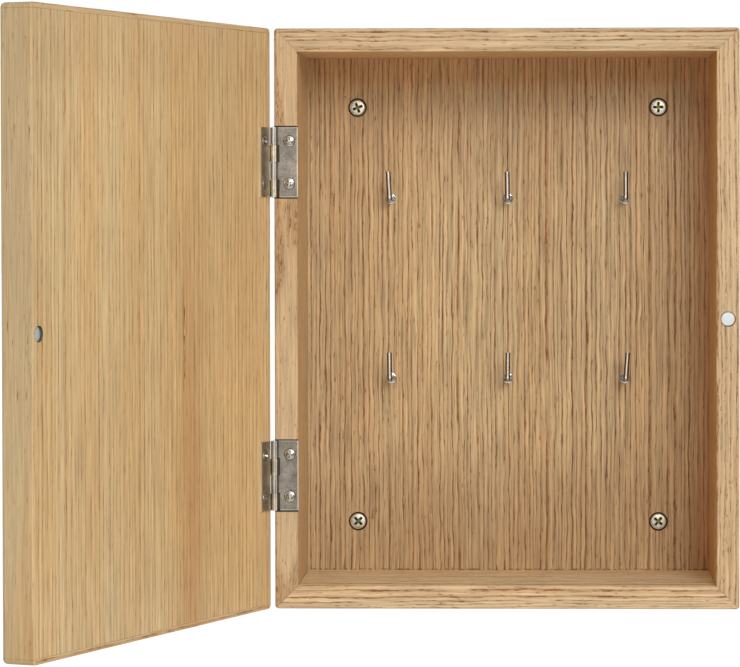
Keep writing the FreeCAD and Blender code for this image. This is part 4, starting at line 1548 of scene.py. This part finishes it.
@dataclass
class Hinges(NewPiece):
    """The stamped leaves and the pins they turn on."""

    names: tuple[str, str] = ("upper", "lower")
    pin: float = 0.7 * MM
    half_pin: float = 15.35 * MM
    round_steps: int = 32

    def build(self) -> None:
        """Dresses the leaves and replaces the pins with domed ones."""
        leaves = {"frame": FRAME_LEAF.laid("frame", PiecePlace()),
                  "door": DOOR_LEAF.laid("door", PiecePlace(on_door=True))}
        for name in self.names:
            for side, finish in leaves.items():
                dress_node(f"{name}_hinge_{side}_leaf", finish)
        mesh = bpy.data.meshes.new("pin")
        dome = [(0.0, 0.0), (0.4 * MM, 0.05 * MM), (0.62 * MM, 0.17 * MM), (self.pin, 0.4 * MM)]
        rod = self.turned([(radius, drop - self.half_pin) for radius, drop in dome]
                          + [(radius, self.half_pin - drop) for radius, drop in reversed(dome)],
                          self.round_steps)
        rod.to_mesh(mesh)
        bright = PIN_METAL.material("pins")
        for name, up in zip(self.names, (HINGE_MIDDLE, -HINGE_MIDDLE)):
            spot = Matrix.Translation(PIN_AXIS + Vector((0, 0, up))) @ Matrix.Rotation(math.pi / 2, 4, "X")
            self.finished(f"{name}_pin_domed", [(mesh, spot)], bright, "nickel_sheet", f"{name}_hinge_pin")


@dataclass
class Hooks(NewPiece):
    """The six wire hooks and the collars they are screwed through."""

    columns: dict[str, float] = field(default_factory=lambda: {
        "left": -52.5 * MM, "middle": 0.0, "right": 52.5 * MM})
    rows: dict[str, float] = field(default_factory=lambda: {"upper": 52.0 * MM, "lower": -28.5 * MM})
    panel_face: float = -6.0 * MM
    bore: float = 1.12 * MM
    collar: float = 2.5 * MM
    round_steps: int = 40

    def build(self) -> None:
        """Dresses the hooks and turns their collars."""
        wire = HOOK_WIRE.material("hooks")
        for row in self.rows:
            for column in self.columns:
                dress_node(f"hook_{row}_{column}", wire)
        mesh = bpy.data.meshes.new("collar")
        ring = self.turned([
            (self.bore, 0.0), (self.bore, -0.4 * MM), (1.45 * MM, -0.45 * MM), (1.78 * MM, -0.94 * MM),
            (1.95 * MM, -1.0 * MM), (2.2 * MM, -0.93 * MM), (2.42 * MM, -0.66 * MM),
            (self.collar, -0.3 * MM), (self.collar, 0.0), (self.bore, 0.0),
        ], self.round_steps)
        ring.to_mesh(mesh)
        parts = [(mesh, Matrix.Translation((x, self.panel_face, z)))
                 for z in self.rows.values() for x in self.columns.values()]
        self.finished("hook_collars_rounded", parts, COLLAR_CLEAR.material("collars"), "clear_collar",
                      "hook_collars")


@dataclass
class Magnets:
    """The two disc magnets."""

    def build(self) -> None:
        """Dresses the magnets."""
        for name, finish, place, centre in (
                ("frame_magnet", FRAME_MAGNET_FACE, PiecePlace(), FRAME_MAGNET),
                ("door_magnet", DOOR_MAGNET_FACE, PiecePlace(on_door=True), DOOR_MAGNET)):
            dress_node(name, finish.laid(name, place, centre))


@dataclass(frozen=True)
class Lamp:
    """A soft rectangular lamp: its place, its width and height, and its power in watts."""

    place: tuple[float, float, float]
    size: tuple[float, float]
    power: float


@dataclass
class Studio:
    """The floor, the light and the camera."""

    lamps: dict[str, Lamp] = field(default_factory=lambda: {
        "key": Lamp((0.42, -1.75, 0.66), (0.75, 0.6), 16.2),
        "side": Lamp((1.7, -0.75, 0.15), (0.9, 1.2), 6.5),
        "fill": Lamp((-1.7, -0.9, 0.1), (0.9, 1.2), 2.2)})
    sky: float = 0.34
    floor_height: float = -0.5
    floor_half: float = 30.0
    floor_shade: float = 0.75
    floor_glow: float = 0.8
    card_aside: float = 0.45
    card_front: float = -0.72
    card_half: tuple[float, float] = (0.8, 0.4)
    eye: tuple[float, float, float] = (0.01265, -1.4957, 0.04432)
    yaw: float = 1.401
    pitch: float = -1.235
    roll: float = 0.065
    lens: float = 161.4
    sensor: float = 36.0
    shift: tuple[float, float] = (-85 / 740, -46 / 740)

    def build(self) -> None:
        """Builds the studio round the object."""
        self.floor()
        self.world()
        for name, lamp in self.lamps.items():
            self.hang(name, lamp)
        for name, side in (("card_left", -1), ("card_right", 1)):
            self.card(name, side)
        self.camera()

    @staticmethod
    def sheet(name: str, place: Matrix, colour: Colour, roughness: float) -> bpy.types.Object:
        """Lays a flat plain sheet that belongs to the studio.

        Args:
            name: The sheet's name.
            place: Where a sheet of half size 1 goes.
            colour: Its colour.
            roughness: Its roughness.

        Returns:
            The sheet.
        """
        bm = bmesh.new()
        bmesh.ops.create_grid(bm, x_segments=1, y_segments=1, size=1.0)
        bmesh.ops.transform(bm, matrix=place, verts=bm.verts)
        mesh = bpy.data.meshes.new(name)
        bm.to_mesh(mesh)
        bm.free()
        sheet = bpy.data.objects.new(name, mesh)
        bpy.context.scene.collection.objects.link(sheet)
        material = bpy.data.materials.new(name)
        material.use_nodes = True
        shader = material.node_tree.nodes["Principled BSDF"]
        shader.inputs["Base Color"].default_value = (*colour, 1)
        shader.inputs["Roughness"].default_value = roughness
        mesh.materials.append(material)
        return sheet

    @staticmethod
    def seen(graph: Graph) -> Socket:
        """Masks what the camera, a reflection or a look through glass sees of a background.

        Args:
            graph: The graph of the background's material or world.

        Returns:
            The mask.
        """
        rays = graph.node("LightPath").outputs
        seen = graph.math("MAXIMUM", rays["Is Camera Ray"], rays["Is Glossy Ray"])
        return graph.math("MAXIMUM", seen, rays["Is Transmission Ray"])

    def floor(self) -> None:
        """Lays a pale floor well under the box, bright enough to read as white."""
        place = Matrix.Translation((0, 0, self.floor_height)) @ Matrix.Diagonal(
            (self.floor_half, self.floor_half, 1, 1))
        floor = self.sheet("floor", place, (self.floor_shade,) * 3, 0.9)
        tree = floor.data.materials[0].node_tree
        shader, graph = tree.nodes["Principled BSDF"], Graph(tree)
        shader.inputs["Emission Color"].default_value = (1, 1, 1, 1)
        glow = graph.math("MULTIPLY", self.seen(graph), self.floor_glow)
        graph.put(shader.inputs["Emission Strength"], glow)

    def card(self, name: str, side: int) -> None:
        """Stands a dark card beside the box that only shows in its metal.

        Args:
            name: The card's name.
            side: -1 for the left, 1 for the right.
        """
        place = Matrix.Translation((side * self.card_aside, self.card_front, 0)) @ Matrix.Rotation(
            math.pi / 2, 4, "Y") @ Matrix.Diagonal((*self.card_half, 1, 1))
        card = self.sheet(name, place, (0.02, 0.018, 0.016), 1.0)
        card.visible_camera = card.visible_diffuse = card.visible_shadow = card.visible_transmission = False

    def world(self) -> None:
        """Lights the scene softly from all round and shows white behind it."""
        world = bpy.data.worlds.new("studio")
        bpy.context.scene.world = world
        world.use_nodes = True
        graph = Graph(world.node_tree)
        back = world.node_tree.nodes["Background"]
        back.inputs["Color"].default_value = (1, 1, 1, 1)
        strength = graph.math("MULTIPLY_ADD", self.seen(graph), 1 - self.sky, self.sky)
        graph.put(back.inputs["Strength"], strength)

    @staticmethod
    def hang(name: str, lamp: Lamp) -> None:
        """Hangs a lamp that looks at the box.

        Args:
            name: The lamp's name.
            lamp: The lamp.
        """
        data = bpy.data.lights.new(name, "AREA")
        data.shape = "RECTANGLE"
        data.size, data.size_y = lamp.size
        data.energy = lamp.power
        light = bpy.data.objects.new(name, data)
        bpy.context.scene.collection.objects.link(light)
        light.location = lamp.place
        light.rotation_mode = "QUATERNION"
        light.rotation_quaternion = (-Vector(lamp.place)).to_track_quat("-Z", "Y")

    def camera(self) -> None:
        """Sets the camera at the photograph's viewing angle."""
        data = bpy.data.cameras.new("camera")
        data.lens, data.sensor_width = self.lens, self.sensor
        data.shift_x, data.shift_y = self.shift
        camera = bpy.data.objects.new("camera", data)
        bpy.context.scene.collection.objects.link(camera)
        turns = [Matrix.Rotation(math.radians(angle), 4, axis) for angle, axis in (
            (self.yaw, "Z"), (self.pitch, "X"), (self.roll, "Y"), (90.0, "X"))]
        camera.matrix_world = Matrix.Translation(self.eye) @ turns[0] @ turns[1] @ turns[2] @ turns[3]
        bpy.context.scene.camera = camera


def main() -> None:
    """Builds the looks."""
    logging.basicConfig(level=logging.INFO, format="%(name)s %(message)s")
    bpy.context.scene.view_settings.view_transform = "Standard"
    for part in (Box(), Door(), Hinges(), HingeScrews(), WallScrews(), Hooks(), Magnets(), Studio()):
        part.build()


if __name__ == "__main__":
    main()
